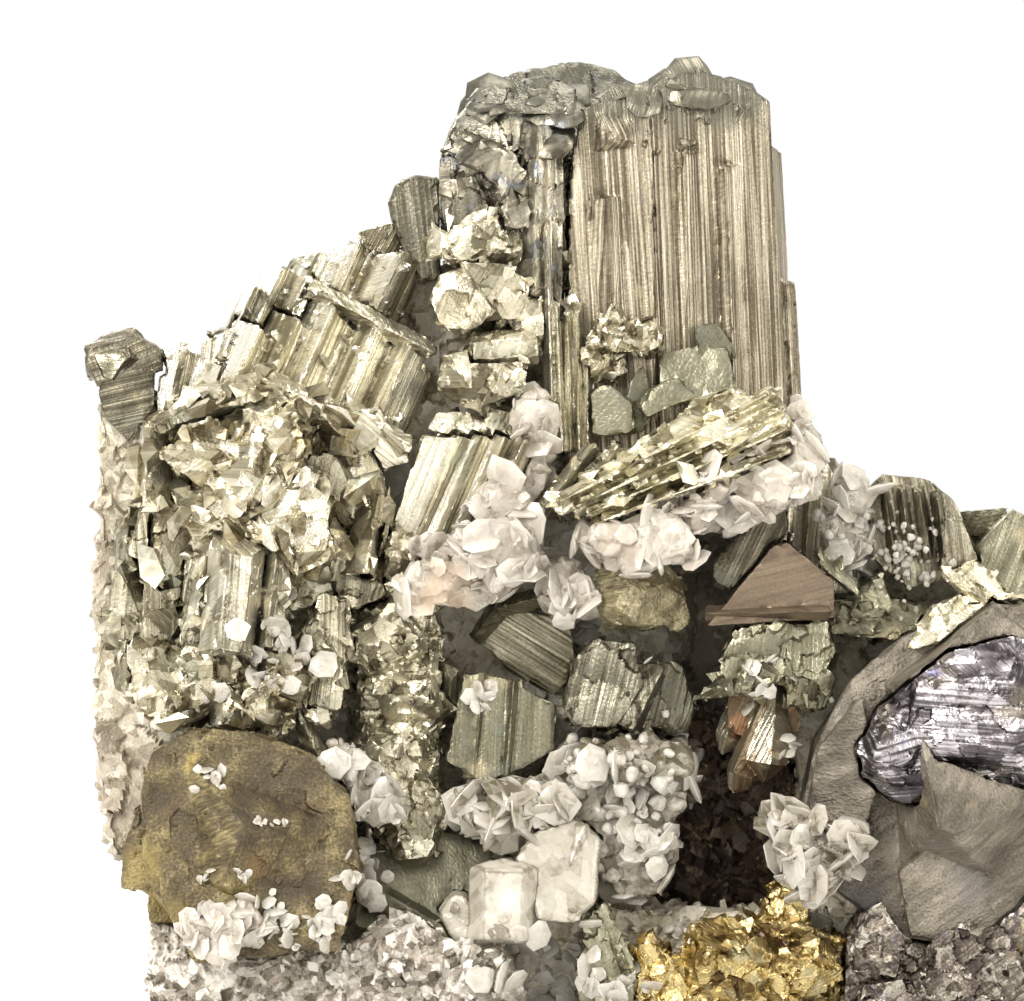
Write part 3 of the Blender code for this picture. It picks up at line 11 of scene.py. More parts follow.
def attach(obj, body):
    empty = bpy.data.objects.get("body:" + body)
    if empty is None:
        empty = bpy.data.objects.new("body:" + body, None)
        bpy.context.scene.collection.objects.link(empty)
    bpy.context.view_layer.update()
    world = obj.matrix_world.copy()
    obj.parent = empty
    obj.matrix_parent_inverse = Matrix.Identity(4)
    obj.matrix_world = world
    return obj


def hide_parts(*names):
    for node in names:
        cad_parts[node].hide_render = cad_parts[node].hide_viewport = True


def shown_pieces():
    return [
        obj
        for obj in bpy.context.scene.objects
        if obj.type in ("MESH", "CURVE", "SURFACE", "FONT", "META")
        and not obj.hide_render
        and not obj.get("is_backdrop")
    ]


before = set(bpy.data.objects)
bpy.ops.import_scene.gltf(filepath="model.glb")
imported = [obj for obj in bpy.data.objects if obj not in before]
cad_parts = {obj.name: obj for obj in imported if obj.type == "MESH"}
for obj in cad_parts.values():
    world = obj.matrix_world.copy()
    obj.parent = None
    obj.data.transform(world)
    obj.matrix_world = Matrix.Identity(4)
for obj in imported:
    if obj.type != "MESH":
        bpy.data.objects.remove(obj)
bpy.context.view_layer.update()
print("frame loaded:", len(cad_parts), "solids")

mm = 0.001


# Repeatable noise on arrays of points

def hashed(cells, seed):
    # one number from 0 to 1 for each whole-number cell
    mixed = cells[..., 0] * 374761393 + cells[..., 1] * 668265263
    mixed = mixed + cells[..., 2] * 1274126177 + seed * 974711
    mixed = (mixed ^ (mixed >> 13)) & 0xFFFFFFFF
    mixed = (mixed * 1274126177) & 0xFFFFFFFF
    mixed = mixed ^ (mixed >> 16)
    return (mixed & 0xFFFFFF) / 0x1000000


def softNoise(points, seed):
    # smooth noise from -1 to 1
    cell = np.floor(points).astype(np.int64)
    part = points - cell
    part = part * part * (3 - 2 * part)
    total = np.zeros(len(points))
    for corner in itertools.product((0, 1), repeat=3):
        weight = np.prod(np.where(corner, part, 1 - part), axis=1)
        total += weight * hashed(cell + np.array(corner), seed)
    return 2 * total - 1


def layeredNoise(points, seed, layers=3):
    total = np.zeros(len(points))
    for layer in range(layers):
        total += softNoise(points * 2.03 ** layer, seed + layer) / 2 ** layer
    return total / (2 - 2 ** (1 - layers))


def facetNoise(points, seed):
    # broken flat facets: each cell of an uneven lattice has its own height, tilt and shade
    base = np.floor(points).astype(np.int64)
    nearest = np.full(len(points), 9.0)
    height, shade = np.zeros(len(points)), np.zeros(len(points))
    for step in itertools.product((-1, 0, 1), repeat=3):
        cell = base + np.array(step)
        centre = cell + 0.5 + 0.85 * (np.stack([hashed(cell, seed + k) for k in (1, 2, 3)], 1) - 0.5)
        offset = points - centre
        distance = (offset ** 2).sum(1)
        tilt = 2 * np.stack([hashed(cell, seed + k) for k in (4, 5, 6)], 1) - 1
        own = (tilt * offset).sum(1) * 1.2 + 0.7 * (hashed(cell, seed + 7) - 0.5)
        closer = distance < nearest
        nearest = np.where(closer, distance, nearest)
        height = np.where(closer, own, height)
        shade = np.where(closer, hashed(cell, seed + 8), shade)
    return height, shade


# Shapes: arrays of points in millimetres and triangles, with what the finishes read

def areaVectors(points, triangles):
    # each triangle's normal, as long as twice its area
    corner = points[triangles]
    return np.cross(corner[:, 1] - corner[:, 0], corner[:, 2] - corner[:, 0])


def unit(vectors):
    return vectors / np.maximum(np.linalg.norm(vectors, axis=1, keepdims=True), 1e-12)


class Shape:
    def __init__(self, points, triangles):
        self.points = np.asarray(points, float)
        self.triangles = np.asarray(triangles, np.int64)
        self.grain = self.points.copy()
        self.groove = np.zeros(len(self.points))
        self.edge = np.zeros(len(self.points))
        self.tone = np.full(len(self.triangles), 0.5)

    def normals(self):
        across = areaVectors(self.points, self.triangles)
        total = np.zeros_like(self.points)
        for k in range(3):
            for axis in range(3):
                total[:, axis] += np.bincount(self.triangles[:, k], across[:, axis], len(self.points))
        return unit(total)

    def joined(self, *others):
        whole = Shape(self.points, self.triangles)
        everything = (self, *others)
        starts = np.cumsum([0] + [len(s.points) for s in everything[:-1]])
        whole.points = np.concatenate([s.points for s in everything])
        whole.triangles = np.concatenate([s.triangles + start for s, start in zip(everything, starts)])
        for name in ("grain", "groove", "edge", "tone"):
            setattr(whole, name, np.concatenate([getattr(s, name) for s in everything]))
        return whole


def uniquePairs(triangles):
    # the edges of some triangles as pairs of points, and which edge each side of a triangle is
    sides = np.concatenate([triangles[:, [0, 1]], triangles[:, [1, 2]], triangles[:, [2, 0]]])
    key, which = np.unique(sides.min(1) * (1 << 32) + sides.max(1), return_inverse=True)
    return np.stack([key >> 32, key & 0xFFFFFFFF], 1), which.ravel()


def averaged(values, pairs, count):
    # each point's mean over its neighbours
    values = values.reshape(count, -1)
    total = np.zeros_like(values)
    share = np.bincount(pairs.ravel(), minlength=count)
    for column in range(values.shape[1]):
        total[:, column] = np.bincount(pairs[:, 0], values[pairs[:, 1], column], count)
        total[:, column] += np.bincount(pairs[:, 1], values[pairs[:, 0], column], count)
    return total / np.maximum(share, 1)[:, None]


def splitLongEdges(points, triangles, owner, limit):
    # cuts every edge that is longer than the limits of its triangles; owner numbers a triangle's flat face
    for _ in range(12):
        single, which = uniquePairs(triangles)
        allowed = np.full(len(single), 1e9)
        np.minimum.at(allowed, which, np.tile(limit, 3))
        tooLong = np.linalg.norm(points[single[:, 0]] - points[single[:, 1]], axis=1) > allowed
        if not tooLong.any():
            break
        middle = np.full(len(single), -1)
        middle[tooLong] = len(points) + np.arange(tooLong.sum())
        points = np.concatenate([points, (points[single[tooLong, 0]] + points[single[tooLong, 1]]) / 2])
        middle = middle[which].reshape(3, -1).T
        cut = middle >= 0
        kept = np.flatnonzero(~cut.any(1))
        pieces, sources = [triangles[kept]], [kept]
        for turn in range(3):
            order = [(turn + k) % 3 for k in range(3)]
            a, b, c = (triangles[:, k] for k in order)
            ab, bc, ca = (middle[:, k] for k in order)
            one = np.flatnonzero(cut[:, order[0]] & ~cut[:, order[1]] & ~cut[:, order[2]])
            two = np.flatnonzero(cut[:, order[0]] & cut[:, order[1]] & ~cut[:, order[2]])
            pieces += [np.stack(corners, 1)[one] for corners in ((a, ab, c), (ab, b, c))]
            pieces += [np.stack(corners, 1)[two] for corners in ((a, ab, c), (ab, bc, c), (ab, b, bc))]
            sources += [one, one, two, two, two]
        a, b, c = triangles.T
        ab, bc, ca = middle.T
        every = np.flatnonzero(cut.all(1))
        quarters = ((a, ab, ca), (ab, b, bc), (ca, bc, c), (ab, bc, ca))
        pieces += [np.stack(corners, 1)[every] for corners in quarters]
        sources += [every] * 4
        triangles, source = np.concatenate(pieces), np.concatenate(sources)
        owner, limit = owner[source], limit[source]
    return points, triangles, owner


def axisFrame(axis):
    # rows: across the crystal, through its depth, and along it
    along = Vector(axis).normalized()
    across = (Vector((1, 0, 0)) if abs(along.x) < 0.8 else Vector((0, 0, -1)))
    across = (across - along * across.dot(along)).normalized()
    return np.array([across, along.cross(across), along])


def rawSolid(node):
    # the CAD solid's points in millimetres, its triangles, and the number of the flat face each is on
    bm = bmesh.new()
    bm.from_mesh(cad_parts[node].data)
    bmesh.ops.remove_doubles(bm, verts=bm.verts[:], dist=2e-6)
    bmesh.ops.triangulate(bm, faces=bm.faces[:])
    bm.verts.index_update()
    points = np.array([v.co for v in bm.verts]) / mm
    triangles = np.array([[v.index for v in f.verts] for f in bm.faces])
    normals = np.array([f.normal for f in bm.faces])
    bm.free()
    reach = (normals * points[triangles[:, 0]]).sum(1)
    key = np.round(np.column_stack([normals * 12, reach * 1.5])).astype(np.int64)
    return points, triangles, np.unique(key, axis=0, return_inverse=True)[1].ravel()


solids = {node: rawSolid(node) for node in sorted(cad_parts)}
starts = np.cumsum([0] + [len(solid[0]) for solid in solids.values()])
everySolid = BVHTree.FromPolygons(
    np.concatenate([solid[0] for solid in solids.values()]).tolist(),
    np.concatenate([solid[1] + start for solid, start in zip(solids.values(), starts)]).tolist())

# The longest edges in mm, by where a triangle can be seen from
fineness = {"front": 0.435, "near": 0.95, "side": 1.4, "buried": 2.6, "firstCut": 2.4}
lookedFrom = {
    "front": ((0, -1, 0),),
    "near": ((0.4, -1, 0), (-0.4, -1, 0), (0, -1, 0.4)),
    "side": ((1, 0, 0), (-1, 0, 0), (0, 1, 0), (0, 0, 1), (1, -1, 0.3), (-1, -1, 0.3),
             (0.7, 0.7, 0.3), (-0.7, 0.7, 0.3), (0, 0.7, 0.7), (0, -0.7, 0.7))}
sightWays = {kind: [Vector(way).normalized() for way in ways] for kind, ways in lookedFrom.items()}
clearOfSolid = 0.06   # mm that a line of sight starts above its triangle


def sightLimits(points, triangles):
    # each triangle's longest edge: the first kind of way that it can be seen from gives it
    normal = unit(areaVectors(points, triangles))
    begin = points[triangles].mean(1) + normal * clearOfSolid
    limits = np.full(len(triangles), fineness["buried"])
    for number, (start, facing) in enumerate(zip(begin, normal)):
        start, facing = Vector(start), Vector(facing)
        for kind, ways in sightWays.items():
            if any(facing.dot(way) > 0.03 and everySolid.ray_cast(start, way)[0] is None for way in ways):
                limits[number] = fineness[kind]
                break
    return limits


def solidShape(node, coarser=1.0):
    points, triangles, owner = solids[node]
    points, triangles, owner = splitLongEdges(
        points, triangles, owner, np.full(len(triangles), fineness["firstCut"]))
    limit = sightLimits(points, triangles) * coarser * 1.0
    points, triangles, owner = splitLongEdges(points, triangles, owner, limit)
    shape = Shape(points, triangles)
    shape.tone = hashed(np.stack([owner, owner * 3 + 1, owner * 7 + 2], 1), len(node))
    return shape


wear = {
    "sharpness": 3.2,    # higher: flatter edges count as sharp ones too
    "widening": 4,       # how many points in from an edge the worn strip reaches
    "chipSize": 1.7,     # mm
    "chipShare": 0.25,   # higher: more of each edge is chipped
    "chips": 0.35,       # mm deep, where a piece doesn't say
    "sunk": 0.15}        # share of the relief that goes into the solid, so that it doesn't grow


def weathered(shape, look):
    # rounds the sharp edges a little, chips them, and raises the striations and broken facets
    count = len(shape.points)
    seed = look["seed"]
    pairs = uniquePairs(shape.triangles)[0]
    length = np.linalg.norm(shape.points[pairs[:, 0]] - shape.points[pairs[:, 1]], axis=1)
    local = np.bincount(pairs[:, 0], length, count) + np.bincount(pairs[:, 1], length, count)
    local = local / np.maximum(np.bincount(pairs.ravel(), minlength=count), 1)
    normal = shape.normals()
    shift = averaged(shape.points, pairs, count) - shape.points
    lift = np.abs((shift * normal).sum(1)) / local
    bent = np.minimum(1, np.linalg.norm(shift, axis=1) / local * 4)
    shape.edge = np.clip(lift * wear["sharpness"], 0, 1) * bent
    for _ in range(look.get("rounding", 1)):
        shape.points = shape.points + 0.5 * (averaged(shape.points, pairs, count) - shape.points)
    shape.points = shape.points + shape.normals() * look.get("swell", 0.0)
    wide = shape.edge.copy()
    for _ in range(wear["widening"]):
        wide = np.maximum(wide * 0.86, averaged(wide, pairs, count).ravel() * 1.15)
    wide = np.clip(wide, 0, 1)
    # across, along and through the crystal, slanted so that no face is seen end on
    turned = shape.points @ axisFrame(look.get("axis", (0.1, 0, 1))).T + seed * 17.0
    shape.grain = np.column_stack([
        turned[:, 0] + 0.8 * turned[:, 1], turned[:, 2] + 0.6 * turned[:, 1], turned[:, 1]])
    normal = shape.normals()
    relief = np.zeros(count)
    if "stripes" in look:
        height, spacing = look["stripes"]
        ribs = layeredNoise(turned * np.array([1, 1, 0.045]) / spacing, seed, 2)
        steps = np.round(ribs * 4) / 4
        deep = np.clip(-0.30 - softNoise(turned * np.array([0.55, 0.55, 0.03]) / spacing, seed + 5), 0, 1)
        relief += height * (0.5 * ribs + 0.7 * steps - 2.2 * deep)
    if "facets" in look:
        height, size = look["facets"]
        relief += height * facetNoise(shape.points / size, seed + 11)[0]
        own = facetNoise(shape.points[shape.triangles].mean(1) / size, seed + 11)[1]
        shape.tone = 0.35 * shape.tone + 0.65 * own
    if "bumps" in look:
        height, size = look["bumps"]
        relief += height * layeredNoise(shape.points / size, seed + 23)
    worn = facetNoise(shape.points / wear["chipSize"], seed + 31)[0] + wear["chipShare"]
    relief -= look.get("chips", wear["chips"]) * wide * np.clip(worn, 0, 1.2)
    usual = max(0.05, np.percentile(np.abs(relief), 92))
    # the relief from -1 to 1; the finishes darken the hollows by it, a painted shade
    shape.groove = np.clip(relief / usual, -1, 1)
    relief *= np.clip(1.7 * fineness["front"] / local, 0.3, 1)   # less of it where the mesh is too coarse
    shape.points = shape.points + normal * (relief - wear["sunk"] * usual)[:, None]
    shape.points[:, 2] = np.maximum(shape.points[:, 2], 0.02)
    return shape


def makePiece(name, shape, finish, replaced=(), sharpness=26):
    mesh = bpy.data.meshes.new(name)
    count = len(shape.triangles)
    mesh.vertices.add(len(shape.points))
    mesh.vertices.foreach_set("co", (shape.points * mm).astype(np.float32).ravel())
    mesh.loops.add(3 * count)
    mesh.loops.foreach_set("vertex_index", shape.triangles.astype(np.int32).ravel())
    mesh.polygons.add(count)
    mesh.polygons.foreach_set("loop_start", np.arange(0, 3 * count, 3, dtype=np.int32))
    mesh.update(calc_edges=True)
    mesh.polygons.foreach_set("use_smooth", np.ones(count, bool))
    mesh.set_sharp_from_angle(angle=math.radians(sharpness))
    grain = mesh.attributes.new("grain", "FLOAT_VECTOR", "POINT")
    grain.data.foreach_set("vector", shape.grain.astype(np.float32).ravel())
    for key, domain in (("groove", "POINT"), ("edge", "POINT"), ("tone", "FACE")):
        layer = mesh.attributes.new(key, "FLOAT", domain)
        layer.data.foreach_set("value", getattr(shape, key).astype(np.float32))
    mesh.materials.append(finish)
    piece = bpy.data.objects.new(name, mesh)
    bpy.context.scene.collection.objects.link(piece)
    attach(piece, "root")
    for node in replaced:
        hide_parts(node)
    return piece


# Small crystals that are strewn over a shape

def chipShapes(count, flatness, seed):
    # a set of sharp broken chips: the hulls of a few points each
    chips = []
    pick = np.random.default_rng(seed)
    for _ in range(count):
        bm = bmesh.new()
        for spot in pick.normal(size=(9, 3)):
            spot = spot / np.linalg.norm(spot) * pick.uniform(0.75, 1.0)
            bm.verts.new(spot * np.array([1, pick.uniform(0.6, 0.95), flatness]))
        bmesh.ops.convex_hull(bm, input=bm.verts[:])
        loose = [v for v in bm.verts if not v.link_faces]
        bmesh.ops.delete(bm, geom=loose, context="VERTS")
        bmesh.ops.recalc_face_normals(bm, faces=bm.faces[:])
        bm.verts.index_update()
        points = np.array([v.co for v in bm.verts])
        triangles = np.array([[v.index for v in f.verts] for f in bm.faces])
        bm.free()
        chips.append((points, triangles))
    return chips


def plateShapes(count, thickness, seed, sides=6):
    # thick calcite plates: a rim with a low rounded pyramid on both sides
    plates = []
    pick = np.random.default_rng(seed)
    profile = ((-1, 0.40), (-0.7, 0.80), (-0.15, 1.0), (0.15, 1.0), (0.7, 0.80), (1, 0.40))
    for _ in range(count):
        turn = 2 * math.pi * (np.arange(sides) + pick.uniform(-0.22, 0.22, sides)) / sides
        reach = pick.uniform(0.76, 1.05, sides)
        rings = []
        for height, inset in profile:
            ring = np.stack([np.cos(turn) * reach * inset, np.sin(turn) * reach * inset], 1)
            rings.append(np.column_stack([ring, np.full(sides, height * thickness / 2)]))
        triangles = []
        for level in range(len(rings) - 1):
            for k in range(sides):
                a, b = level * sides + k, level * sides + (k + 1) % sides
                triangles += [[a, b, b + sides], [a, b + sides, a + sides]]
        top = (len(rings) - 1) * sides
        for k in range(1, sides - 1):
            triangles += [[0, k + 1, k], [top, top + k, top + k + 1]]
        plates.append((np.concatenate(rings), np.array(triangles)))
    return plates


def planted(seats, templates, look, pick):
    # small crystals on their seats: half sunk in, leaning from the surface's normal by the spread
    shapes = []
    small, large = look["size"]
    for spot, normal in seats:
        points, triangles = templates[pick.integers(len(templates))]
        lean = look.get("axis", normal) + look.get("spread", 0.6) * pick.normal(size=3)
        turn = np.array(Vector(lean).to_track_quat("Z", "Y").to_matrix())
        spin = np.array(Euler((0, 0, pick.uniform(0, 2 * math.pi))).to_matrix())
        size = small + (large - small) * pick.random() ** 1.6   # more small ones than large ones
        placed = (points * size / 2) @ (turn @ spin).T + spot + normal * size * look.get("rise", 0.05)
        shapes.append((points, placed, triangles))
    first = np.cumsum([0] + [len(s[0]) for s in shapes[:-1]])
    triangles = np.concatenate([s[2] + k for s, k in zip(shapes, first)])
    made = Shape(np.concatenate([s[1] for s in shapes]), triangles)
    made.points[:, 2] = np.maximum(made.points[:, 2], 0.03)
    own = np.concatenate([s[0] for s in shapes])
    made.edge = np.clip((np.linalg.norm(own[:, :2], axis=1) - 0.55) * 2.2, 0, 1)
    low, high = look.get("tone", (0.0, 1.0))
    made.tone = np.concatenate([np.full(len(s[2]), pick.uniform(low, high)) for s in shapes])
    made.tone = np.clip(made.tone + pick.uniform(-0.16, 0.16, len(made.tone)), 0, 1)
    made.grain = np.concatenate([s[0] + pick.uniform(0, 40, 3) for s in shapes])
    return made


def strewn(host, templates, look):
    # crystals on random places of a shape
    pick = np.random.default_rng(look["seed"])
    middle = host.points[host.triangles].mean(1)
    across = areaVectors(host.points, host.triangles)
    area, normal = np.linalg.norm(across, axis=1), unit(across)
    allowed = area * (normal[:, 1] < look.get("facing", 0.3))
    if "where" in look:
        allowed = allowed * look["where"](middle[:, 0], middle[:, 2])
    if "front" in look:
        allowed = allowed * (middle[:, 1] < look["front"])
    if allowed.sum() == 0:
        print("nothing to strew on for seed", look["seed"])
        return None
    chosen = pick.choice(len(area), look["count"], p=allowed / allowed.sum())
    return planted([(middle[spot], normal[spot]) for spot in chosen], templates, look, pick)


def clustered(templates, look, groups):
    # crystals around given places, on whatever solid is in front there
    pick = np.random.default_rng(look["seed"])
    shapes = []
    for x, z, reachX, reachZ, count, size in groups:
        seats = []
        for aside, higher in pick.normal(size=(count, 2)) * (reachX, reachZ):
            start = Vector((x + aside, -60, max(z + higher, 0.4)))
            spot, normal = everySolid.ray_cast(start, Vector((0, 1, 0)))[:2]
            if spot is not None:
                seats.append((np.array(spot), np.array(normal)))
        if seats:
            shapes.append(planted(seats, templates, {**look, "size": size}, pick))
    return shapes


# Finishes

class Value:
    def __init__(self, maker, socket):
        self.maker = maker
        self.socket = socket

    def output(self, name):
        return Value(self.maker, self.socket.node.outputs[name])

    def channel(self, name):
        return self.maker.node("ShaderNodeSeparateColor", {}, {0: self}, output=name)

    def clamped(self):
        return self.maker.node("ShaderNodeClamp", {}, {0: self, 1: 0.0, 2: 1.0})

    def math(self, operation, first, second):
        return self.maker.node("ShaderNodeMath", {"operation": operation}, {0: first, 1: second})

    def __add__(self, other):
        return self.math("ADD", self, other)

    def __sub__(self, other):
        return self.math("SUBTRACT", self, other)

    def __mul__(self, other):
        return self.math("MULTIPLY", self, other)

    def __rsub__(self, other):
        return self.math("SUBTRACT", other, self)

    __radd__ = __add__


class Nodes:
    def __init__(self, tree):
        self.tree = tree

    def node(self, kind, settings=None, sockets=None, output=0):
        made = self.tree.nodes.new(kind)
        for key, value in (settings or {}).items():
            if key == "stops":
                ramp = made.color_ramp
                while len(ramp.elements) < len(value):
                    ramp.elements.new(1.0)
                for element, (at, colour) in zip(ramp.elements, value):
                    element.position = at
                    element.color = (*colour, 1)
            else:
                setattr(made, key, value)
        for key, value in (sockets or {}).items():
            target = made.inputs[key]
            if isinstance(value, Value):
                self.tree.links.new(value.socket, target)
            elif hasattr(target.default_value, "__len__") and len(value) < len(target.default_value):
                target.default_value = (*value, 1)
            else:
                target.default_value = value
        return Value(self, made.outputs[output])

    def feed(self, name, key, value):
        self.tree.links.new(value.socket, self.tree.nodes[name].inputs[key])


class Finish(Nodes):
    def __init__(self, name, constants):
        self.material = bpy.data.materials.new(name)
        self.material.use_nodes = True
        super().__init__(self.material.node_tree)
        self.place = self.node("ShaderNodeVectorMath", {"operation": "SCALE"}, {
            0: self.node("ShaderNodeTexCoord", output="Object"), "Scale": 1 / mm})
        self.grain = self.read("grain", "Vector")
        for key, value in constants.items():
            self.tree.nodes["Principled BSDF"].inputs[key].default_value = value

    def read(self, name, output="Fac"):
        return self.node("ShaderNodeAttribute", {"attribute_name": name}, output=output)

    def vector(self, operation, first, second, output=0):
        return self.node("ShaderNodeVectorMath", {"operation": operation}, {0: first, 1: second}, output)

    def noise(self, vector, scale=1.0, detail=2.0, dimensions="3D"):
        return self.node("ShaderNodeTexNoise", {"noise_dimensions": dimensions}, {
            "Vector": vector, "Scale": scale, "Detail": detail, "Roughness": 0.55})

    def cells(self, vector, dimensions):
        return self.node("ShaderNodeTexVoronoi", {"voronoi_dimensions": dimensions}, {
            "Vector": vector, "Scale": 1.0}, output="Color")

    def mixed(self, factor, one, other):
        return self.node("ShaderNodeMix", {"data_type": "RGBA", "clamp_factor": True}, {
            0: factor, 6: one, 7: other}, output=2)

    def grit(self, size):
        return self.noise(self.grain, 1 / size, dimensions="2D") - 0.5

    def facets(self, size, solid=False):
        # flat tilted facets of about this size: their height for a bump, and a colour for each
        if solid:
            scaled = self.vector("MULTIPLY", self.place, (1 / size, 1 / size, 1 / size))
        else:
            scaled = self.vector("MULTIPLY", self.grain, (1 / size, 1 / size, 0))
        cells = self.cells(scaled, "3D" if solid else "2D")
        offset = self.vector("SUBTRACT", scaled, cells.output("Position"))
        tilt = self.vector("SUBTRACT", cells, (0.5, 0.5, 0.5))
        return self.vector("DOT_PRODUCT", tilt, offset, "Value"), cells

    def axis(self, letter):
        return self.node("ShaderNodeSeparateXYZ", {}, {0: self.place}, output=letter)

    def near(self, centre, radius):
        # a mask that is 1 at a place in millimetres and fades out raggedly at the radius
        deeper, ragged = 0.35, 1.1   # how much depth counts, and how far the rim wanders
        flat = self.vector("MULTIPLY", self.place, (1, deeper, 1))
        distance = self.vector("DISTANCE", flat, (centre[0], centre[1] * deeper, centre[2]), "Value")
        wobble = (self.noise(self.place, 0.35, 4.0) - 0.5) * (2 * ragged * radius)
        return ((radius - distance + wobble) * (1 / (0.6 * radius))).clamped()

    def tinted(self, colour, look):
        # broad clouds of other colours, stains, and on the calcite blocks painted highlights, at given
        # places, and another colour above a height
        for number, (tint, share, size) in enumerate(look.get("tints", ())):
            shifted = self.vector("ADD", self.place, (31.0 * number + 7, 5, 11))
            mask = ((self.noise(shifted, 1 / size) - (1 - share)) * 9).clamped() * 0.75
            colour = self.mixed(mask, colour, tint)
        for centre, radius, tint, strength in look.get("patches", ()):
            colour = self.mixed(self.near(centre, radius) * strength, colour, tint)
        if "above" in look:
            height, fade, tint, strength = look["above"]
            wobble = (self.noise(self.place, 0.4, 4.0) - 0.5) * (fade * 3)
            mask = ((self.axis("Z") - height + wobble) * (1 / fade)).clamped() * strength
            colour = self.mixed(mask, colour, tint)
        return colour

    def coloured(self, shade, stops, look):
        # dark, middle and light at these shades, with the tints of the look
        ramp = {"stops": tuple(zip(stops, look["colours"]))}
        return self.tinted(self.node("ShaderNodeValToRGB", ramp, {0: shade}), look)

    def finished(self, colour, roughness, height, bump):
        bumped = self.node("ShaderNodeBump", {}, {"Strength": 1.0, "Distance": bump * mm, "Height": height})
        for key, value in (("Base Color", colour), ("Roughness", roughness.clamped()), ("Normal", bumped)):
            self.feed("Principled BSDF", key, value)
        return self.material


def oreFinish(name, look):
    # a metallic crystal face: striations along its grain, grooves darker as painted shade, facets of
    # different brightness
    make = Finish(name, {"Metallic": look["metallic"], "IOR": 1.8})
    groove, edge, tone = make.read("groove"), make.read("edge"), make.read("tone")
    wide, run = 1 / look["spacing"], look["run"]
    fine = make.noise(make.vector("MULTIPLY", make.grain, (wide, run, 1)), 1.0, 2.0, "2D") - 0.5
    cloud = make.noise(make.place, 1 / look["cloudSize"]) - 0.5
    grit = make.grit(look["gritSize"])
    # groove darkens the hollows: painted shade
    shade = 0.5 + fine * look["streaks"] + groove * look["grooveShade"] + cloud * look["clouds"]
    shade = shade + (tone - 0.5) * look["tones"] + grit * look["grit"] + edge * look["edgeLight"]
    height = fine * look["streakHeight"] + grit * look["gritHeight"]
    if look["ribs"] > 0:
        wider = make.vector("MULTIPLY", make.grain, (0.7 * wide, run * 1.5, 1))
        rib = make.cells(wider, "2D").channel("Red") - 0.5
        shade = shade + rib * look["ribs"]
        height = height + rib * look["ribHeight"]
    rough = look["roughness"] + grit * 0.25
    if look["facets"] > 0:
        tilt, facet = make.facets(look["facetSize"])
        own = facet.channel("Blue") - 0.5
        shade = shade + own * look["facets"]
        height = height + tilt * look["facetHeight"]
        rough = rough + own * 0.2
    shade = shade.clamped()
    colour = make.coloured(shade, (0.10, 0.48, 0.88), look)
    return make.finished(colour, rough - (shade - 0.5) * look["roughSpread"], height, look["bump"])


def calciteFinish(name, look):
    # half clear calcite: lighter or darker at the rims, and darker where the crust shows
    make = Finish(name, {"IOR": 1.58, "Transmission Weight": look["transmission"]})
    edge, tone = make.read("edge"), make.read("tone")
    cloud = make.noise(make.place, 1 / 3.5)
    frost = make.grit(0.6)
    tilt, facet = make.facets(1.3)
    shade = tone + edge * look["rimLight"] + frost * 0.4 + (cloud - 0.5) * 0.6
    shade = (shade + (facet.channel("Red") - 0.5) * look["facets"]).clamped()
    colour = make.coloured(shade, (0.12, 0.36, 0.95), look)
    return make.finished(colour, look["roughness"] + frost * 0.3, frost * 0.4 + tilt * 0.5, 0.14)


def rockFinish(name, look):
    # grainy rock: grains of different tones, some of them glinting, hollows darker as painted shade, and
    # darker behind if the look says so
    make = Finish(name, {"Metallic": look["metallic"], "IOR": 1.6})
    groove, tone = make.read("groove"), make.read("tone")
    tilt, grains = make.facets(look["grain"], solid=True)
    own, second = grains.channel("Red"), grains.channel("Green")
    cloud = make.noise(make.place, 1 / look["cloudSize"], 3.0) - 0.5
    grit = make.noise(make.place, 1 / 0.3) - 0.5
    # groove darkens the hollows: painted shade
    shade = 0.5 + (own - 0.5) * 0.45 + groove * 0.22 + cloud * 1.1 + grit * 0.6 + (tone - 0.5) * 0.6
    colour = make.coloured(shade.clamped(), (0.1, 0.5, 0.9), look)
    # behind: the back is mixed darker, so that the pale colours that stand in for light in front don't make
    # it too bright
    if "behind" in look:
        start, fade, tint, strength = look["behind"]
        mask = ((make.axis("Y") - start + cloud * fade) * (1 / fade)).clamped() * strength
        colour = make.mixed(mask, colour, tint)
    glint = ((second - look["glintShare"]) * 12).clamped() * 0.8
    colour = make.mixed(glint, colour, look["glint"])
    return make.finished(colour, 0.72 - own * 0.35, tilt + grit * 0.6, 0.25)


# Streaks, ribs, grooveShade, tones, facets, clouds and grit say how strongly each changes the shade;
# grooveShade darkens the hollows, a painted shade. Heights are for the bump, sizes in mm. A tint is a
# colour, its share of the surface and the size of its clouds.
# A patch is a place, a radius, a colour and a strength. Above and behind: where another colour starts,
# the mm over which it fades in, the colour and its strength
striated = {"spacing": 0.34, "run": 0.045, "streaks": 0.9, "ribs": 0.34, "grooveShade": 0.22, "tones": 0.35,
    "facets": 0, "clouds": 0.5, "grit": 0.45, "edgeLight": 0.16, "cloudSize": 6.0, "gritSize": 0.3,
    "streakHeight": 0.8, "ribHeight": 0.5, "gritHeight": 0.35, "bump": 0.15, "roughness": 0.38,
    "roughSpread": 0.2, "metallic": 0.88}
broken = {**striated, "streaks": 0.4, "ribs": 0, "tones": 0.8, "facets": 0.4, "facetSize": 1.6,
    "facetHeight": 1.0, "streakHeight": 0.3, "grit": 0.35, "roughness": 0.33}

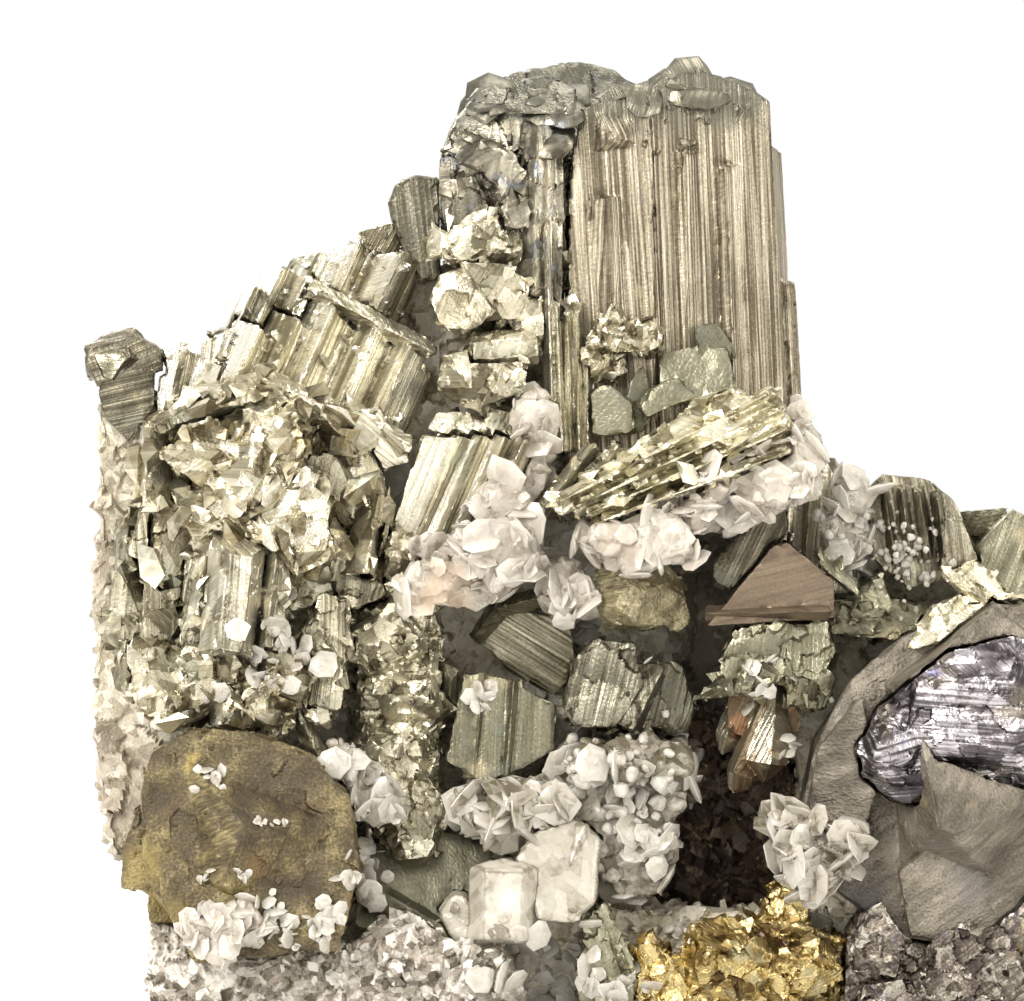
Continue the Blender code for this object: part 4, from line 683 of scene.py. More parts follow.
columnOre = oreFinish("columnOre", {**striated,
    "colours": ((0.12, 0.1, 0.068), (0.33, 0.29, 0.215), (0.62, 0.56, 0.45)), "streaks": 1.5,
    "spacing": 0.2, "run": 0.035, "ribs": 0.5, "ribHeight": 0.8, "tints": (((0.24, 0.23, 0.2), 0.32, 5.0),
    ((0.36, 0.32, 0.21), 0.38, 4.0)), "above": (88.0, 3.0, (0.13, 0.13, 0.105), 0.75)})
domeOre = oreFinish("domeOre", {**broken,
    "colours": ((0.095, 0.087, 0.066), (0.26, 0.238, 0.185), (0.5, 0.465, 0.38)), "streaks": 0.8,
    "tints": (((0.19, 0.205, 0.25), 0.42, 3.0), ((0.6, 0.54, 0.42), 0.38, 3.0)), "facetSize": 2.2,
    "above": (87.0, 4.0, (0.12, 0.12, 0.1), 0.7)})
brightOre = oreFinish("brightOre", {**striated,
    "colours": ((0.33, 0.3, 0.2), (0.86, 0.82, 0.69), (1.0, 0.99, 0.95)), "tones": 0.7,
    "tints": (((0.5, 0.48, 0.35), 0.36, 4.0), ((0.74, 0.62, 0.38), 0.3, 3.0)), "roughness": 0.27,
    "streaks": 1.2})
leanOre = oreFinish("leanOre", {**striated,
    "colours": ((0.2, 0.18, 0.12), (0.64, 0.6, 0.49), (1.0, 0.99, 0.95)), "tones": 0.9,
    "tints": (((0.3, 0.29, 0.22), 0.4, 4.0), ((0.62, 0.51, 0.29), 0.32, 3.0)), "roughness": 0.27,
    "streaks": 1.3})
rimOre = oreFinish("rimOre", {**broken,
    "colours": ((0.13, 0.11, 0.066), (0.41, 0.37, 0.265), (0.86, 0.82, 0.69)),
    "tints": (((0.3, 0.24, 0.12), 0.36, 3.5), ((0.42, 0.43, 0.35), 0.4, 4.0))})
craterOre = oreFinish("craterOre", {**broken,
    "colours": ((0.16, 0.13, 0.075), (0.52, 0.475, 0.35), (1.0, 0.97, 0.86)), "roughness": 0.28,
    "tints": (((0.36, 0.29, 0.14), 0.36, 3.0), ((0.55, 0.54, 0.45), 0.4, 4.0))})
paleOre = oreFinish("paleOre", {**striated,
    "colours": ((0.15, 0.135, 0.09), (0.54, 0.505, 0.4), (0.86, 0.82, 0.7)), "tones": 0.6,
    "tints": (((0.42, 0.43, 0.34), 0.4, 4.0), ((0.66, 0.58, 0.42), 0.36, 3.0))})
brokenPaleOre = oreFinish("brokenPaleOre", {**broken,
    "colours": ((0.17, 0.15, 0.1), (0.54, 0.495, 0.375), (0.9, 0.86, 0.73)),
    "tints": (((0.38, 0.38, 0.29), 0.42, 4.0), ((0.68, 0.58, 0.4), 0.36, 3.0))})
darkOre = oreFinish("darkOre", {**striated,
    "colours": ((0.075, 0.066, 0.045), (0.185, 0.167, 0.122), (0.42, 0.39, 0.3)), "tones": 0.5,
    "tints": (((0.16, 0.165, 0.13), 0.42, 4.0), ((0.27, 0.22, 0.14), 0.36, 3.0))})
shadeOre = oreFinish("shadeOre", {**striated,
    "colours": ((0.11, 0.098, 0.066), (0.28, 0.255, 0.185), (0.6, 0.56, 0.43)), "streaks": 1.2,
    "tints": (((0.22, 0.22, 0.17), 0.4, 4.0),)})
duskOre = oreFinish("duskOre", {**striated,
    "colours": ((0.06, 0.054, 0.037), (0.135, 0.124, 0.09), (0.34, 0.32, 0.25)), "tones": 0.5,
    "tints": (((0.12, 0.125, 0.1), 0.42, 4.0),)})
greenOre = oreFinish("greenOre", {**striated,
    "colours": ((0.105, 0.098, 0.066), (0.25, 0.237, 0.167), (0.5, 0.48, 0.365)), "streaks": 0.4,
    "tones": 0.5, "tints": (((0.22, 0.235, 0.19), 0.4, 3.0), ((0.46, 0.41, 0.28), 0.4, 5.0)),
    "streakHeight": 0.35, "ribs": 0.15, "ribHeight": 0.2, "roughness": 0.35})
smoothOre = oreFinish("smoothOre", {**striated,
    "colours": ((0.095, 0.09, 0.058), (0.205, 0.195, 0.135), (0.4, 0.38, 0.28)), "streaks": 0.25,
    "ribs": 0, "tones": 0.4, "streakHeight": 0.15, "metallic": 0.7, "roughness": 0.36,
    "tints": (((0.17, 0.175, 0.14), 0.42, 4.0), ((0.3, 0.26, 0.15), 0.34, 3.0))})
foilOre = oreFinish("foilOre", {**broken,
    "colours": ((0.17, 0.15, 0.105), (0.46, 0.425, 0.32), (0.85, 0.81, 0.66)), "streaks": 0.3,
    "facetHeight": 1.6, "facetSize": 0.9, "tints": (((0.46, 0.42, 0.3), 0.4, 5.0),)})
redOre = oreFinish("redOre", {**striated,
    "colours": ((0.085, 0.06, 0.038), (0.18, 0.132, 0.09), (0.28, 0.22, 0.155)), "streaks": 0.5,
    "ribs": 0.15, "ribHeight": 0.2, "streakHeight": 0.4, "tones": 0.3, "roughness": 0.44, "metallic": 0.6,
    "tints": (((0.27, 0.2, 0.14), 0.42, 4.0),)})
toothOre = oreFinish("toothOre", {**striated,
    "colours": ((0.13, 0.09, 0.055), (0.44, 0.39, 0.285), (0.85, 0.8, 0.66)), "streaks": 0.3, "ribs": 0,
    "tones": 1.1, "roughness": 0.34, "tints": (((0.3, 0.17, 0.09), 0.42, 2.4),)})
tarnished = {**broken, "colours": ((0.048, 0.032, 0.013), (0.106, 0.078, 0.032), (0.29, 0.235, 0.105)),
    "streaks": 0.15, "tones": 0.12, "clouds": 1.1, "grit": 1.0, "metallic": 0.45, "roughness": 0.48,
    "streakHeight": 0.1, "facetSize": 0.9, "facetHeight": 0.6, "gritHeight": 0.9, "facets": 0.15,
    "tints": (((0.42, 0.32, 0.09), 0.34, 3.2), ((0.13, 0.085, 0.035), 0.4, 5.0)),
    "patches": (((-34, -21, 15.4), 2.0, (0.26, 0.15, 0.055), 0.55),
    ((-45.5, -18, 15.5), 3.0, (0.34, 0.26, 0.08), 0.55), ((-43, -18, 11), 2.6, (0.32, 0.25, 0.08), 0.5))}
oliveOre = oreFinish("oliveOre", tarnished)
brassyOre = oreFinish("brassyOre", {**tarnished,
    "colours": ((0.12, 0.096, 0.052), (0.3, 0.258, 0.15), (0.58, 0.52, 0.33)), "patches": ()})
goldOre = oreFinish("goldOre", {**broken,
    "colours": ((0.12, 0.075, 0.03), (0.38, 0.285, 0.115), (0.8, 0.66, 0.34)), "streaks": 0.2,
    "clouds": 0.8, "grit": 0.6, "metallic": 0.95, "facetSize": 0.8, "gritHeight": 0.7,
    "tints": (((0.27, 0.15, 0.19), 0.36, 2.2), ((0.46, 0.42, 0.26), 0.4, 3.0),
    ((0.2, 0.13, 0.06), 0.36, 3.0))})
galenaOre = oreFinish("galenaOre", {**broken,
    "colours": ((0.065, 0.056, 0.064), (0.135, 0.122, 0.13), (0.56, 0.535, 0.58)), "streaks": 1.7,
    "spacing": 0.36, "run": 0.1, "clouds": 1.3, "roughness": 0.32, "metallic": 1.0, "facets": 0.2,
    "tints": (((0.2, 0.18, 0.3), 0.36, 3.0), ((0.22, 0.195, 0.16), 0.44, 5.0))})
footOre = oreFinish("footOre", {**broken,
    "colours": ((0.07, 0.056, 0.05), (0.195, 0.168, 0.14), (0.56, 0.52, 0.46)), "streaks": 0.8,
    "clouds": 0.9, "grit": 0.9, "facetSize": 0.8, "tints": (((0.42, 0.35, 0.16), 0.34, 4.0),
    ((0.2, 0.155, 0.24), 0.38, 3.0))})
domeSkin = oreFinish("domeSkin", {**striated,
    "colours": ((0.075, 0.06, 0.042), (0.165, 0.142, 0.107), (0.33, 0.29, 0.235)), "streaks": 0.8,
    "spacing": 1.0, "run": 0.22, "tones": 0.2, "clouds": 0.9, "grit": 0.7, "roughness": 0.5,
    "metallic": 0.35, "ribs": 0.2, "ribHeight": 0.4, "gritHeight": 0.9, "bump": 0.22,
    "tints": (((0.12, 0.105, 0.085), 0.42, 6.0), ((0.3, 0.25, 0.14), 0.32, 3.0)),
    "patches": (((33, -20, 21.5), 1.4, (0.5, 0.4, 0.14), 0.6),
    ((25, -20, 12), 4.0, (0.085, 0.08, 0.085), 0.7), ((37, -20, 13), 3.0, (0.22, 0.2, 0.19), 0.6))})
creamOre = oreFinish("creamOre", {**broken,
    "colours": ((0.22, 0.19, 0.12), (0.7, 0.655, 0.49), (0.96, 0.93, 0.8)), "streaks": 0.8})
# the hollow's lining is near black: painted shade of the hollow
caveShadeOre = oreFinish("caveShadeOre", {**broken,
    "colours": ((0.035, 0.023, 0.017), (0.12, 0.083, 0.06), (0.3, 0.23, 0.165)), "streaks": 0.3,
    "roughness": 0.42, "metallic": 0.4, "patches": (((9.5, -5, 29), 3.0, (0.28, 0.22, 0.06), 0.7),)})
milkyCalcite = calciteFinish("milkyCalcite", {
    "colours": ((0.33, 0.285, 0.235), (0.56, 0.505, 0.44), (0.93, 0.89, 0.82)), "transmission": 0.2,
    "rimLight": 0.3, "facets": 0.3, "roughness": 0.2, "tints": (((0.5, 0.455, 0.43), 0.38, 5.0),),
    "patches": (((-15.5, -16, 42), 4.0, (0.8, 0.6, 0.42), 0.5),
    ((2, -18, 47), 3.0, (0.66, 0.55, 0.46), 0.4))})
clearCalcite = calciteFinish("clearCalcite", {
    "colours": ((0.24, 0.21, 0.145), (0.66, 0.605, 0.52), (0.97, 0.94, 0.88)), "transmission": 0.4,
    "rimLight": 0.3, "facets": 0.3, "roughness": 0.18,
    "patches": (((-31.5, -16, 19.5), 2.4, (0.8, 0.66, 0.52), 0.5),)})
blockCalcite = calciteFinish("blockCalcite", {
    "colours": ((0.36, 0.32, 0.255), (0.62, 0.57, 0.48), (0.9, 0.86, 0.77)), "transmission": 0.3,
    "rimLight": -0.55, "facets": 0.5, "roughness": 0.12,
    # the two near-white patches are painted highlights on the barrel and the slant block
    "patches": (((-9.4, -19, 11.8), 2.3, (0.99, 0.97, 0.9), 0.9),
    ((-2.8, -19, 16.2), 1.1, (0.99, 0.98, 0.94), 0.9))})
paleRock = rockFinish("paleRock", {"grain": 0.9,
    "colours": ((0.12, 0.1, 0.07), (0.43, 0.385, 0.33), (0.88, 0.85, 0.8)), "metallic": 0.1,
    "cloudSize": 5.0, "tints": (((0.6, 0.46, 0.4), 0.38, 3.0), ((0.13, 0.12, 0.13), 0.3, 2.6)),
    "glint": (0.97, 0.95, 0.9), "glintShare": 0.82})
# the pale colours are painted light: they lift the matrix where it shows in shade between the crystals in
# front; behind and at the left edge it is mixed back to darker colours
matrixRock = rockFinish("matrixRock", {"grain": 0.8,
    "colours": ((0.28, 0.24, 0.175), (0.74, 0.68, 0.545), (0.95, 0.91, 0.82)), "metallic": 0.05,
    "cloudSize": 6.0, "tints": (((0.32, 0.265, 0.17), 0.38, 6.0), ((0.58, 0.5, 0.37), 0.4, 4.0)),
    "patches": (((-49, -8, 45), 9.0, (0.42, 0.35, 0.28), 0.75),
    ((-49, -8, 22), 9.0, (0.42, 0.35, 0.28), 0.75)), "behind": (3.0, 7.0, (0.2, 0.17, 0.13), 0.72),
    "glint": (0.8, 0.75, 0.65), "glintShare": 0.88})
print("finishes made:", len(bpy.data.materials))


# The specimen, node by node. Heights and sizes are in millimetres

plates = plateShapes(14, 0.40, 3, sides=7)
beads = plateShapes(8, 1.3, 5, sides=7)
chips = chipShapes(14, 0.45, 7)
flakes = chipShapes(10, 0.22, 8)
grains = chipShapes(10, 0.8, 9)
shields = plateShapes(10, 0.42, 11, sides=9)


def dress(node, finish, look, *extras, coarser=1.0, crustTone=None, sharpness=26, rims=False):
    # the weathered solid, with small crystals strewn on it. Bits are broken chips: how many, their smallest
    # and largest size, and how far they lean. Seeds that aren't given follow from the piece's own
    if "bits" in look:
        count, small, large, spread = look["bits"]
        extras = ((chips, {"count": count, "size": (small, large), "spread": spread}),)
    shape = weathered(solidShape(node, coarser), look)
    if crustTone is not None:
        shape.tone[:] = crustTone
        if not rims:
            shape.edge[:] = 0
    shapes = [strewn(shape, templates, {"seed": look["seed"] + 10 + 100 * number, **extra})
              for number, (templates, extra) in enumerate(extras)]
    shapes = [s for s in shapes if s is not None]
    if shapes:
        shape = shape.joined(*shapes)
    makePiece(node + "_piece", shape, finish, [node], sharpness)


upright = (-0.03, 0, 1)
dress("tall_column_main", columnOre, {"axis": upright, "stripes": (0.12, 0.6), "chips": 0.5, "seed": 2},
      (shields, {"count": 12, "size": (4.0, 7.6), "spread": 0.16, "axis": (0.1, -0.7, 0.7),
                 "where": lambda x, z: (z > 91) & (z < 94.5) & (x > 3) & (x < 14.5), "rise": -0.16,
                 "tone": (0.0, 0.45)}),
      (chips, {"count": 50, "size": (0.6, 1.8), "where": lambda x, z: z < 62, "spread": 0.9}),
      (chips, {"count": 70, "size": (0.5, 1.9), "seed": 113, "spread": 0.9,
               "where": lambda x, z: (x > 4.5) & (x < 12) & (z > 86) & (z < 92)}))
dress("tall_column_left", domeOre, {"axis": upright, "stripes": (0.14, 0.9), "facets": (0.35, 3.6),
      "chips": 0.6, "seed": 3},
      (shields, {"count": 24, "size": (3.6, 7.2), "seed": 16, "spread": 0.15, "axis": (-0.1, -0.75, 0.65),
                 "where": lambda x, z: (z > 87) & (z < 93.5) & (x > -13.5), "front": 2, "rise": -0.17,
                 "tone": (0.0, 0.45)}),
      (chips, {"count": 60, "size": (2.0, 6.0), "seed": 213, "where": lambda x, z: z < 84, "spread": 0.25,
               "front": 2, "rise": -0.14}),
      (flakes, {"count": 40, "size": (0.6, 2.4), "seed": 113, "spread": 0.9, "front": 2}))
# the pale brightOre is painted light here: it lifts the prism, which sits in shade
dress("fluted_prism", brightOre, {"axis": upright, "stripes": (0.09, 0.6), "chips": 0.3, "seed": 4})
dress("small_blade", duskOre, {"axis": (-0.1, 0, 1), "stripes": (0.1, 0.7), "swell": 0.35, "seed": 5})
print("column dressed")

stepped = {"stripes": (0.14, 0.8), "chips": 0.5}
leaning = {"axis": (0.4, -0.5, 0.9), "spread": 0.5}
# the lower prisms get the paler brightOre and the upper ones the darker leanOre: painted light on the more
# shaded lower ones
dress("stepped_prisms_upper", leanOre, {**stepped, "axis": (0.42, 0.1, 0.9), "seed": 6},
      (chips, {"count": 60, "size": (0.6, 2.4), **leaning}))
dress("stepped_prisms_lower", brightOre, {**stepped, "axis": (0.4, 0.06, 0.91), "seed": 7},
      (chips, {"count": 80, "size": (0.6, 2.8), **leaning}))
dress("slanted_prism", paleOre, {"axis": (0.4, 0.05, 0.915), "stripes": (0.12, 0.7), "seed": 8})
dress("bright_plate", leanOre, {"axis": (0.25, 0, 0.97), "stripes": (0.2, 0.9), "seed": 9,
      "bits": (40, 0.6, 2.4, 0.6)})
dress("knob_crystal", darkOre, {"axis": (0.9, 0, 0.3), "stripes": (0.12, 0.8), "bumps": (0.2, 3.0),
      "seed": 10, "bits": (24, 0.8, 2.8, 0.4)})
dress("wedge_block", paleOre, {"axis": (0.6, 0, -0.8), "stripes": (0.12, 0.8), "seed": 11,
      "bits": (24, 0.6, 1.8, 0.6)})
dress("broken_block_upper", brokenPaleOre, {"axis": (0.2, 0, 1), "facets": (0.25, 1.8), "seed": 12,
      "bits": (50, 0.8, 3.0, 0.4)})
dress("white_faced_block", brokenPaleOre, {"axis": (0.5, 0, 0.86), "facets": (0.18, 2.6), "seed": 13},
      (chips, {"count": 60, "size": (0.6, 2.6), "where": lambda x, z: (z < 70) | (x > -9)}))
dress("pale_green_block", brokenPaleOre, {"axis": (0.6, 0, 0.8), "facets": (0.18, 2.2), "seed": 14,
      "bits": (50, 0.8, 2.8, 0.4)})
print("left group dressed")

dress("rim_crystal", rimOre, {"axis": (0.3, 0, 1), "facets": (0.5, 4.0), "chips": 0.6, "seed": 15,
      "bits": (130, 1.6, 6.8, 0.4)})
dress("crater_blocks", craterOre, {"axis": (0.6, 0, 0.8), "facets": (0.5, 3.4), "seed": 16,
      "bits": (110, 1.6, 6.2, 0.5)})
dress("dusted_block", paleOre, {"axis": (0.12, 0.1, 0.98), "stripes": (0.1, 0.8), "facets": (0.2, 2.6),
      "seed": 17},
      (chips, {"count": 60, "size": (0.8, 3.2), "where": lambda x, z: (x < -39) | (x > -34)}))
dress("left_edge_blades", shadeOre, {"axis": (0.05, 0, 1), "facets": (0.2, 3.4), "seed": 18,
      "bits": (60, 1.6, 5.0, 0.35)})
dress("lower_left_rubble", rimOre, {"axis": (0.3, 0, 1), "facets": (0.5, 3.0), "seed": 19,
      "bits": (130, 1.0, 5.0, 0.6)})
dress("brown_blade", shadeOre, {"axis": (0.1, 0, 1), "facets": (0.3, 2.4), "stripes": (0.1, 0.9),
      "seed": 20, "bits": (70, 0.8, 3.2, 0.6)})
dress("crumpled_band", foilOre, {"axis": (0.1, 0, 1), "facets": (0.5, 1.7), "seed": 21,
      "bits": (240, 0.6, 2.6, 0.6)})
dress("grey_foot_crystal", smoothOre, {"axis": (1, 0, 0.1), "bumps": (0.2, 3.0), "seed": 22,
      "bits": (40, 0.6, 1.8, 0.6)})
dress("chalcopyrite_lump", oliveOre, {"axis": (0.1, 0, 1), "bumps": (0.35, 2.2), "facets": (0.14, 2.6),
      "seed": 23},
      (grains, {"count": 220, "size": (0.3, 1.2)}),
      (chips, {"count": 60, "size": (0.8, 2.6), "where": lambda x, z: (x < -42) | (z < 16),
               "spread": 0.4}))
print("left side dressed")

dress("smooth_green_crystals", smoothOre, {"axis": (0.6, 0, 0.8), "bumps": (0.15, 2.0), "rounding": 3,
      "seed": 24})
dress("foot_rubble", rimOre, {"axis": (0.2, 0, 1), "facets": (0.3, 1.3), "seed": 25,
      "bits": (90, 0.6, 2.8, 0.5)})
dress("tongue_blade", creamOre, {"axis": (0.87, 0.1, 0.48), "stripes": (0.1, 0.8), "facets": (0.25, 3.4),
      "seed": 26},
      (chips, {"count": 110, "size": (1.0, 4.6), "axis": (-0.3, -0.5, 0.8), "spread": 0.35}))
# paleOre is painted light here: it lifts the shards, which sit in shade
dress("green_shards", paleOre, {"axis": (0.62, 0.1, 0.78), "stripes": (0.1, 0.6), "seed": 27,
      "bits": (60, 0.8, 2.6, 0.6)})
dress("upper_striated_block", shadeOre, {"axis": (0.75, 0, -0.6), "stripes": (0.12, 0.7), "seed": 28})
dress("striated_block", greenOre, {"axis": (0.1, 0, 1), "stripes": (0.12, 0.8), "seed": 29})
dress("dark_block", duskOre, {"axis": (0.3, 0, 1), "facets": (0.2, 2.6), "seed": 30,
      "bits": (70, 0.8, 3.2, 0.6)})
dress("golden_lump", brassyOre, {"axis": (0.3, 0, 1), "bumps": (0.25, 1.6), "facets": (0.15, 1.2),
      "seed": 31},
      (grains, {"count": 60, "size": (0.3, 1.2)}))
dress("hook_crystal", darkOre, {"axis": (0.4, 0, 1), "bumps": (0.2, 3.0), "rounding": 3, "seed": 32})
dress("red_prism", redOre, {"axis": (0.95, 0, 0.2), "stripes": (0.05, 0.5), "chips": 0.2, "seed": 33})
dress("green_cluster", greenOre, {"axis": (0.2, 0, 1), "facets": (0.3, 2.0), "seed": 34,
      "bits": (110, 1.0, 3.8, 0.5)})
dress("dogtooth_crystals", toothOre, {"axis": (-0.3, 0, -0.9), "stripes": (0.05, 0.6), "seed": 35})
dress("back_pillar", brightOre, {"axis": (0.1, 0, 1), "stripes": (0.12, 0.8), "seed": 36})
dress("hollow_crust", caveShadeOre, {"axis": (0.1, 0, 1), "facets": (0.5, 1.8), "seed": 37},
      (grains, {"count": 260, "size": (0.6, 2.2)}))
dress("green_wedge", greenOre, {"axis": (-0.4, 0, 1), "facets": (0.2, 2.0), "seed": 38,
      "bits": (50, 0.8, 3.0, 0.4)})
print("middle dressed")

dress("ribbed_crystal", darkOre, {"axis": (-0.15, 0, 1), "stripes": (0.14, 0.7), "seed": 39})
dress("far_right_crystal", greenOre, {"axis": (0.5, 0, 0.85), "stripes": (0.14, 0.9), "seed": 40})
dress("small_bright_blades", greenOre, {"axis": (-0.8, 0, 0.6), "facets": (0.2, 2.0), "seed": 41,
      "bits": (60, 0.8, 3.2, 0.6)})
dress("pyrite_patch", creamOre, {"axis": (0.8, 0, 0.4), "facets": (0.25, 1.6), "seed": 42,
      "bits": (50, 0.6, 2.2, 0.4)})
dress("dark_dome", domeSkin, {"axis": (0.7, 0, 0.5), "bumps": (0.6, 7.0), "facets": (0.1, 3.0),
      "rounding": 3, "seed": 43},
      (chips, {"count": 60, "size": (0.6, 2.4), "rise": -0.1, "spread": 0.3}))
dress("galena_lens", galenaOre, {"axis": (1, 0, 0.12), "stripes": (0.2, 0.9), "facets": (0.22, 2.2),
      "seed": 44},
      (chips, {"count": 70, "size": (0.5, 2.0), "spread": 0.3, "rise": -0.05}))
dress("galena_foot", footOre, {"axis": (0.8, 0, 0.5), "facets": (0.5, 2.2), "seed": 45,
      "bits": (260, 0.8, 3.4, 0.6)})
dress("bright_chalcopyrite", goldOre, {"axis": (0.8, 0, 0.4), "facets": (0.5, 1.9), "seed": 46,
      "bits": (240, 0.5, 2.8, 0.7)})
print("right side dressed")

dress("quartz_foot", paleRock, {"axis": (1, 0, 0), "facets": (0.4, 1.4), "bumps": (0.4, 3.0), "seed": 47},
      (grains, {"count": 600, "size": (0.4, 1.6)}),
      (chips, {"count": 130, "size": (1.2, 4.0), "where": lambda x, z: (x > -25) & (z < 11)}))
dress("matrix_rock", matrixRock, {"axis": (0, 0, 1), "facets": (0.7, 3.2), "bumps": (0.7, 6.0),
      "seed": 48},
      (grains, {"count": 2200, "size": (0.8, 3.0), "facing": 2.0}), coarser=1.6)
dress("back_prisms", paleOre, {"axis": (-0.2, 0.3, 1), "stripes": (0.2, 0.9), "seed": 49})

crust = {"facets": (0.45, 2.2), "bumps": (0.7, 3.2), "rounding": 3, "chips": 0.1}
milky = {"spread": 0.5, "rise": -0.04, "facing": 0.5, "tone": (0.30, 0.62)}
clear = {"spread": 0.6, "rise": 0.06, "facing": 0.5}
for number, (node, count, size) in enumerate((
        ("calcite_band", 170, (1.6, 5.2)),
        ("calcite_ledge", 150, (1.6, 5.0)),
        ("calcite_rosette", 60, (1.0, 3.4)))):
    dress(node, milkyCalcite, {**crust, "seed": 60 + number},
          (plates, {"count": count, "size": size, "seed": 80 + number, **milky}),
          crustTone=0.36, sharpness=52)
for number, (node, count, size, beadCount, crustTone, tones) in enumerate((
        ("calcite_beads", 60, (1.8, 4.8), 50, 0.2, (0.25, 0.8)),
        ("calcite_fan", 110, (1.8, 5.2), 14, 0.1, (0.05, 0.55)),
        ("calcite_right_cluster", 80, (2.0, 5.2), 8, 0.3, (0.1, 0.68)),
        ("calcite_patch_left", 60, (1.4, 4.0), 20, 0.45, (0.2, 0.8)),
        ("calcite_tuft", 60, (1.4, 3.8), 20, 0.5, (0.3, 0.9)))):
    dress(node, clearCalcite, {**crust, "seed": 63 + number},
          (plates, {"count": count, "size": size, "seed": 83 + number, "tone": tones, **clear}),
          (beads, {"count": beadCount, "size": (0.8, 2.2), "seed": 183 + number, "tone": tones, **clear}),
          crustTone=crustTone, sharpness=52)
for number, node in enumerate(("calcite_barrel", "calcite_slant_block")):
    dress(node, blockCalcite, {"bumps": (0.3, 3.4), "facets": (0.14, 2.4), "rounding": 4, "swell": 0.25,
                               "chips": 0.1, "seed": 70 + number},
          (plates, {"count": 8, "size": (1.0, 2.4), "seed": 90 + number, "where": lambda x, z: z < 11}),
          crustTone=0.55, sharpness=40, rims=True)
print("rock and calcite dressed")


# Small calcite crystals that sit on other solids. A row is x and z, the reach in x and z, how many, and
# the smallest and largest size
loose = {"tone": (0.4, 0.95), "rise": 0.18, "spread": 0.7}
scattered = clustered(plates, {**loose, "seed": 201}, (
    (-32.5, 9.3, 1.1, 1.3, 34, (0.9, 2.6)), (-27.3, 9.6, 1.0, 1.3, 30, (0.9, 2.4)),
    (-39, 14.3, 0.4, 0.4, 6, (0.8, 1.6)), (-35.5, 14.5, 0.4, 0.4, 6, (0.8, 1.6)),
    (-32.2, 19.5, 1.0, 0.2, 10, (0.6, 1.2)), (-38.5, 23.8, 0.9, 0.7, 9, (0.8, 1.8)),
    (-23.5, 14.3, 1.2, 1.5, 20, (1.0, 2.8)), (-32.3, 36.8, 1.6, 2.2, 32, (1.3, 3.4)),
    (-39, 32, 1.2, 0.8, 9, (1.0, 2.4)), (16, 33.3, 1.4, 1.4, 14, (1.2, 2.8)),
    (19.3, 26.5, 0.8, 0.8, 9, (1.0, 2.2)), (6.5, 36.5, 1.3, 0.7, 14, (0.8, 1.8)),
    (-2.5, 39.5, 1.2, 1.6, 18, (1.2, 3.4)), (-5, 4.5, 3.2, 2.8, 46, (1.4, 3.8)),
    (1.5, 3, 1.8, 1.3, 28, (1.0, 2.8)), (8, 9, 0.6, 1.8, 16, (0.6, 1.6)),
    (20.3, 61, 0.4, 1.4, 8, (0.8, 2.0)), (-12, 31.5, 0.9, 0.9, 8, (1.0, 2.4)),
    (4.5, 18, 1.6, 2.6, 22, (1.2, 3.2))))
scattered += clustered(beads, {**loose, "seed": 202}, (
    (30.5, 45.5, 1.7, 2.2, 90, (0.4, 1.2)), (-0.5, 25, 2.5, 1.5, 26, (0.8, 2.2)),
    (6, 22, 2.0, 3.0, 26, (0.8, 2.4))))
scattered += clustered(grains, {**loose, "seed": 203}, (
    (-36.7, 41.5, 1.4, 3.2, 120, (0.2, 0.42)),))
makePiece("scattered_calcite", scattered[0].joined(*scattered[1:]), clearCalcite,
          sharpness=52)
print("scattered calcite made")


# Floor, light and camera

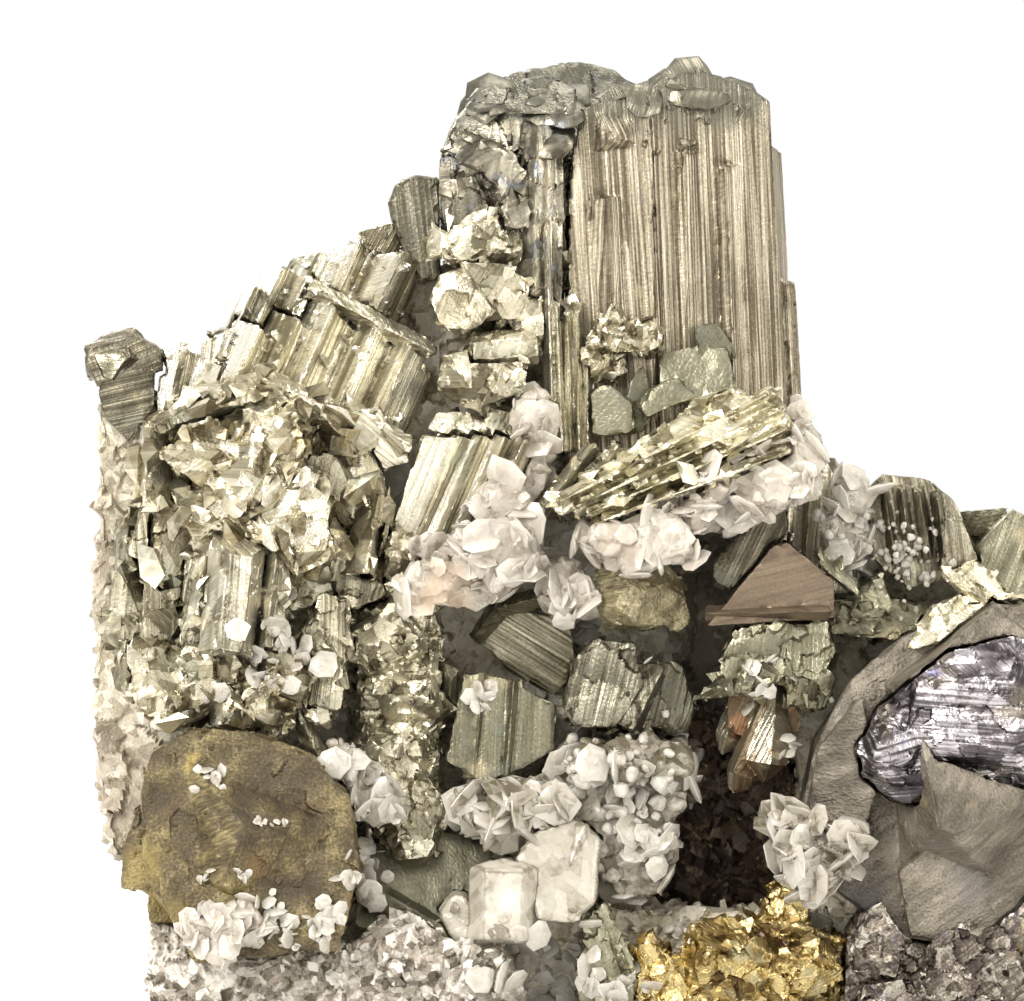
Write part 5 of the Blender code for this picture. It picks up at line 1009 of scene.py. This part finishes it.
def makeStudio():
    look = {"floorSize": 1.1, "floorColour": (0.85, 0.85, 0.85), "warmth": (1.0, 0.965, 0.885),
            "skyLight": 0.95, "lowestLight": 0.55, "keyPower": 4.8, "fillPower": 1.9}
    mesh = bpy.data.meshes.new("floor")
    half = look["floorSize"] / 2
    corners = [(-half, -half, 0), (half, -half, 0), (half, half, 0), (-half, half, 0)]
    mesh.from_pydata(corners, [], [(0, 1, 2, 3)])
    floor = bpy.data.objects.new("floor", mesh)
    floor.location.z = -0.00005
    bpy.context.scene.collection.objects.link(floor)
    floor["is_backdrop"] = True
    pale = Finish("floorPale", {"Base Color": (*look["floorColour"], 1), "Roughness": 0.9})
    mesh.materials.append(pale.material)

    # the camera sees plain white; the specimen is lit and mirrored by a sky that is dimmer below
    world = bpy.data.worlds.new("studio")
    world.use_nodes = True
    bpy.context.scene.world = world
    make = Nodes(world.node_tree)
    direction = make.node("ShaderNodeTexCoord", output="Generated")
    up = make.node("ShaderNodeSeparateXYZ", {}, {0: direction}, output="Z")
    height = make.node("ShaderNodeMath", {"operation": "MULTIPLY_ADD"}, {0: up, 1: 0.5, 2: 0.4})
    levels = ((0.0, look["lowestLight"]), (0.62, 1.0))
    stops = [(at, [level * part for part in look["warmth"]]) for at, level in levels]
    glow = make.node("ShaderNodeValToRGB", {"stops": stops}, {0: height})
    sky = make.node("ShaderNodeBackground", {}, {"Color": glow, "Strength": look["skyLight"]})
    white = make.node("ShaderNodeBackground", {}, {"Color": (1, 1, 1), "Strength": 1.0})
    seen = make.node("ShaderNodeLightPath", output="Is Camera Ray")
    make.feed("World Output", "Surface", make.node("ShaderNodeMixShader", {}, {0: seen, 1: sky, 2: white}))

    lamps = (
        ("keyLight", (-0.42, -0.52, 0.42), 0.46, look["keyPower"]),
        ("fillLight", (0.55, -0.45, 0.25), 0.40, look["fillPower"]),
        ("topLight", (0.05, 0.10, 0.70), 0.40, look["fillPower"]),
        ("backLight", (-0.30, 0.60, 0.40), 0.40, look["fillPower"]),
    )
    for name, place, size, power in lamps:
        light = bpy.data.lights.new(name, "AREA")
        light.shape = "DISK"
        light.size = size
        light.energy = power
        light.color = look["warmth"]
        lamp = bpy.data.objects.new(name, light)
        lamp.location = place
        lamp.rotation_euler = (Vector((0, 0, 0.045)) - Vector(place)).to_track_quat("-Z", "Y").to_euler()
        bpy.context.scene.collection.objects.link(lamp)


def makeCamera():
    # straight on, level with the middle of the piece
    look = {"lens": 400.0, "sensor": 36.0, "frameWidth": 0.1024, "middle": (-0.0088, -0.012, 0.05145)}
    camera = bpy.data.objects.new("camera", bpy.data.cameras.new("camera"))
    camera.data.lens = look["lens"]
    camera.data.sensor_width = look["sensor"]
    away = look["lens"] * look["frameWidth"] / look["sensor"]
    x, y, z = look["middle"]
    camera.location = (x, y - away, z)
    camera.rotation_euler = (math.radians(90), 0, 0)
    camera.data.clip_start = 0.1
    camera.data.clip_end = 10
    bpy.context.scene.collection.objects.link(camera)
    bpy.context.scene.camera = camera


makeStudio()
makeCamera()
bpy.context.scene.view_settings.view_transform = "Standard"
print("studio made")

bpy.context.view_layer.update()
sizes = {piece.name: len(piece.data.polygons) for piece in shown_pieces() if piece.type == "MESH"}
print("triangles in all:", sum(sizes.values()), "most:", sorted((n, name) for name, n in sizes.items())[-4:])
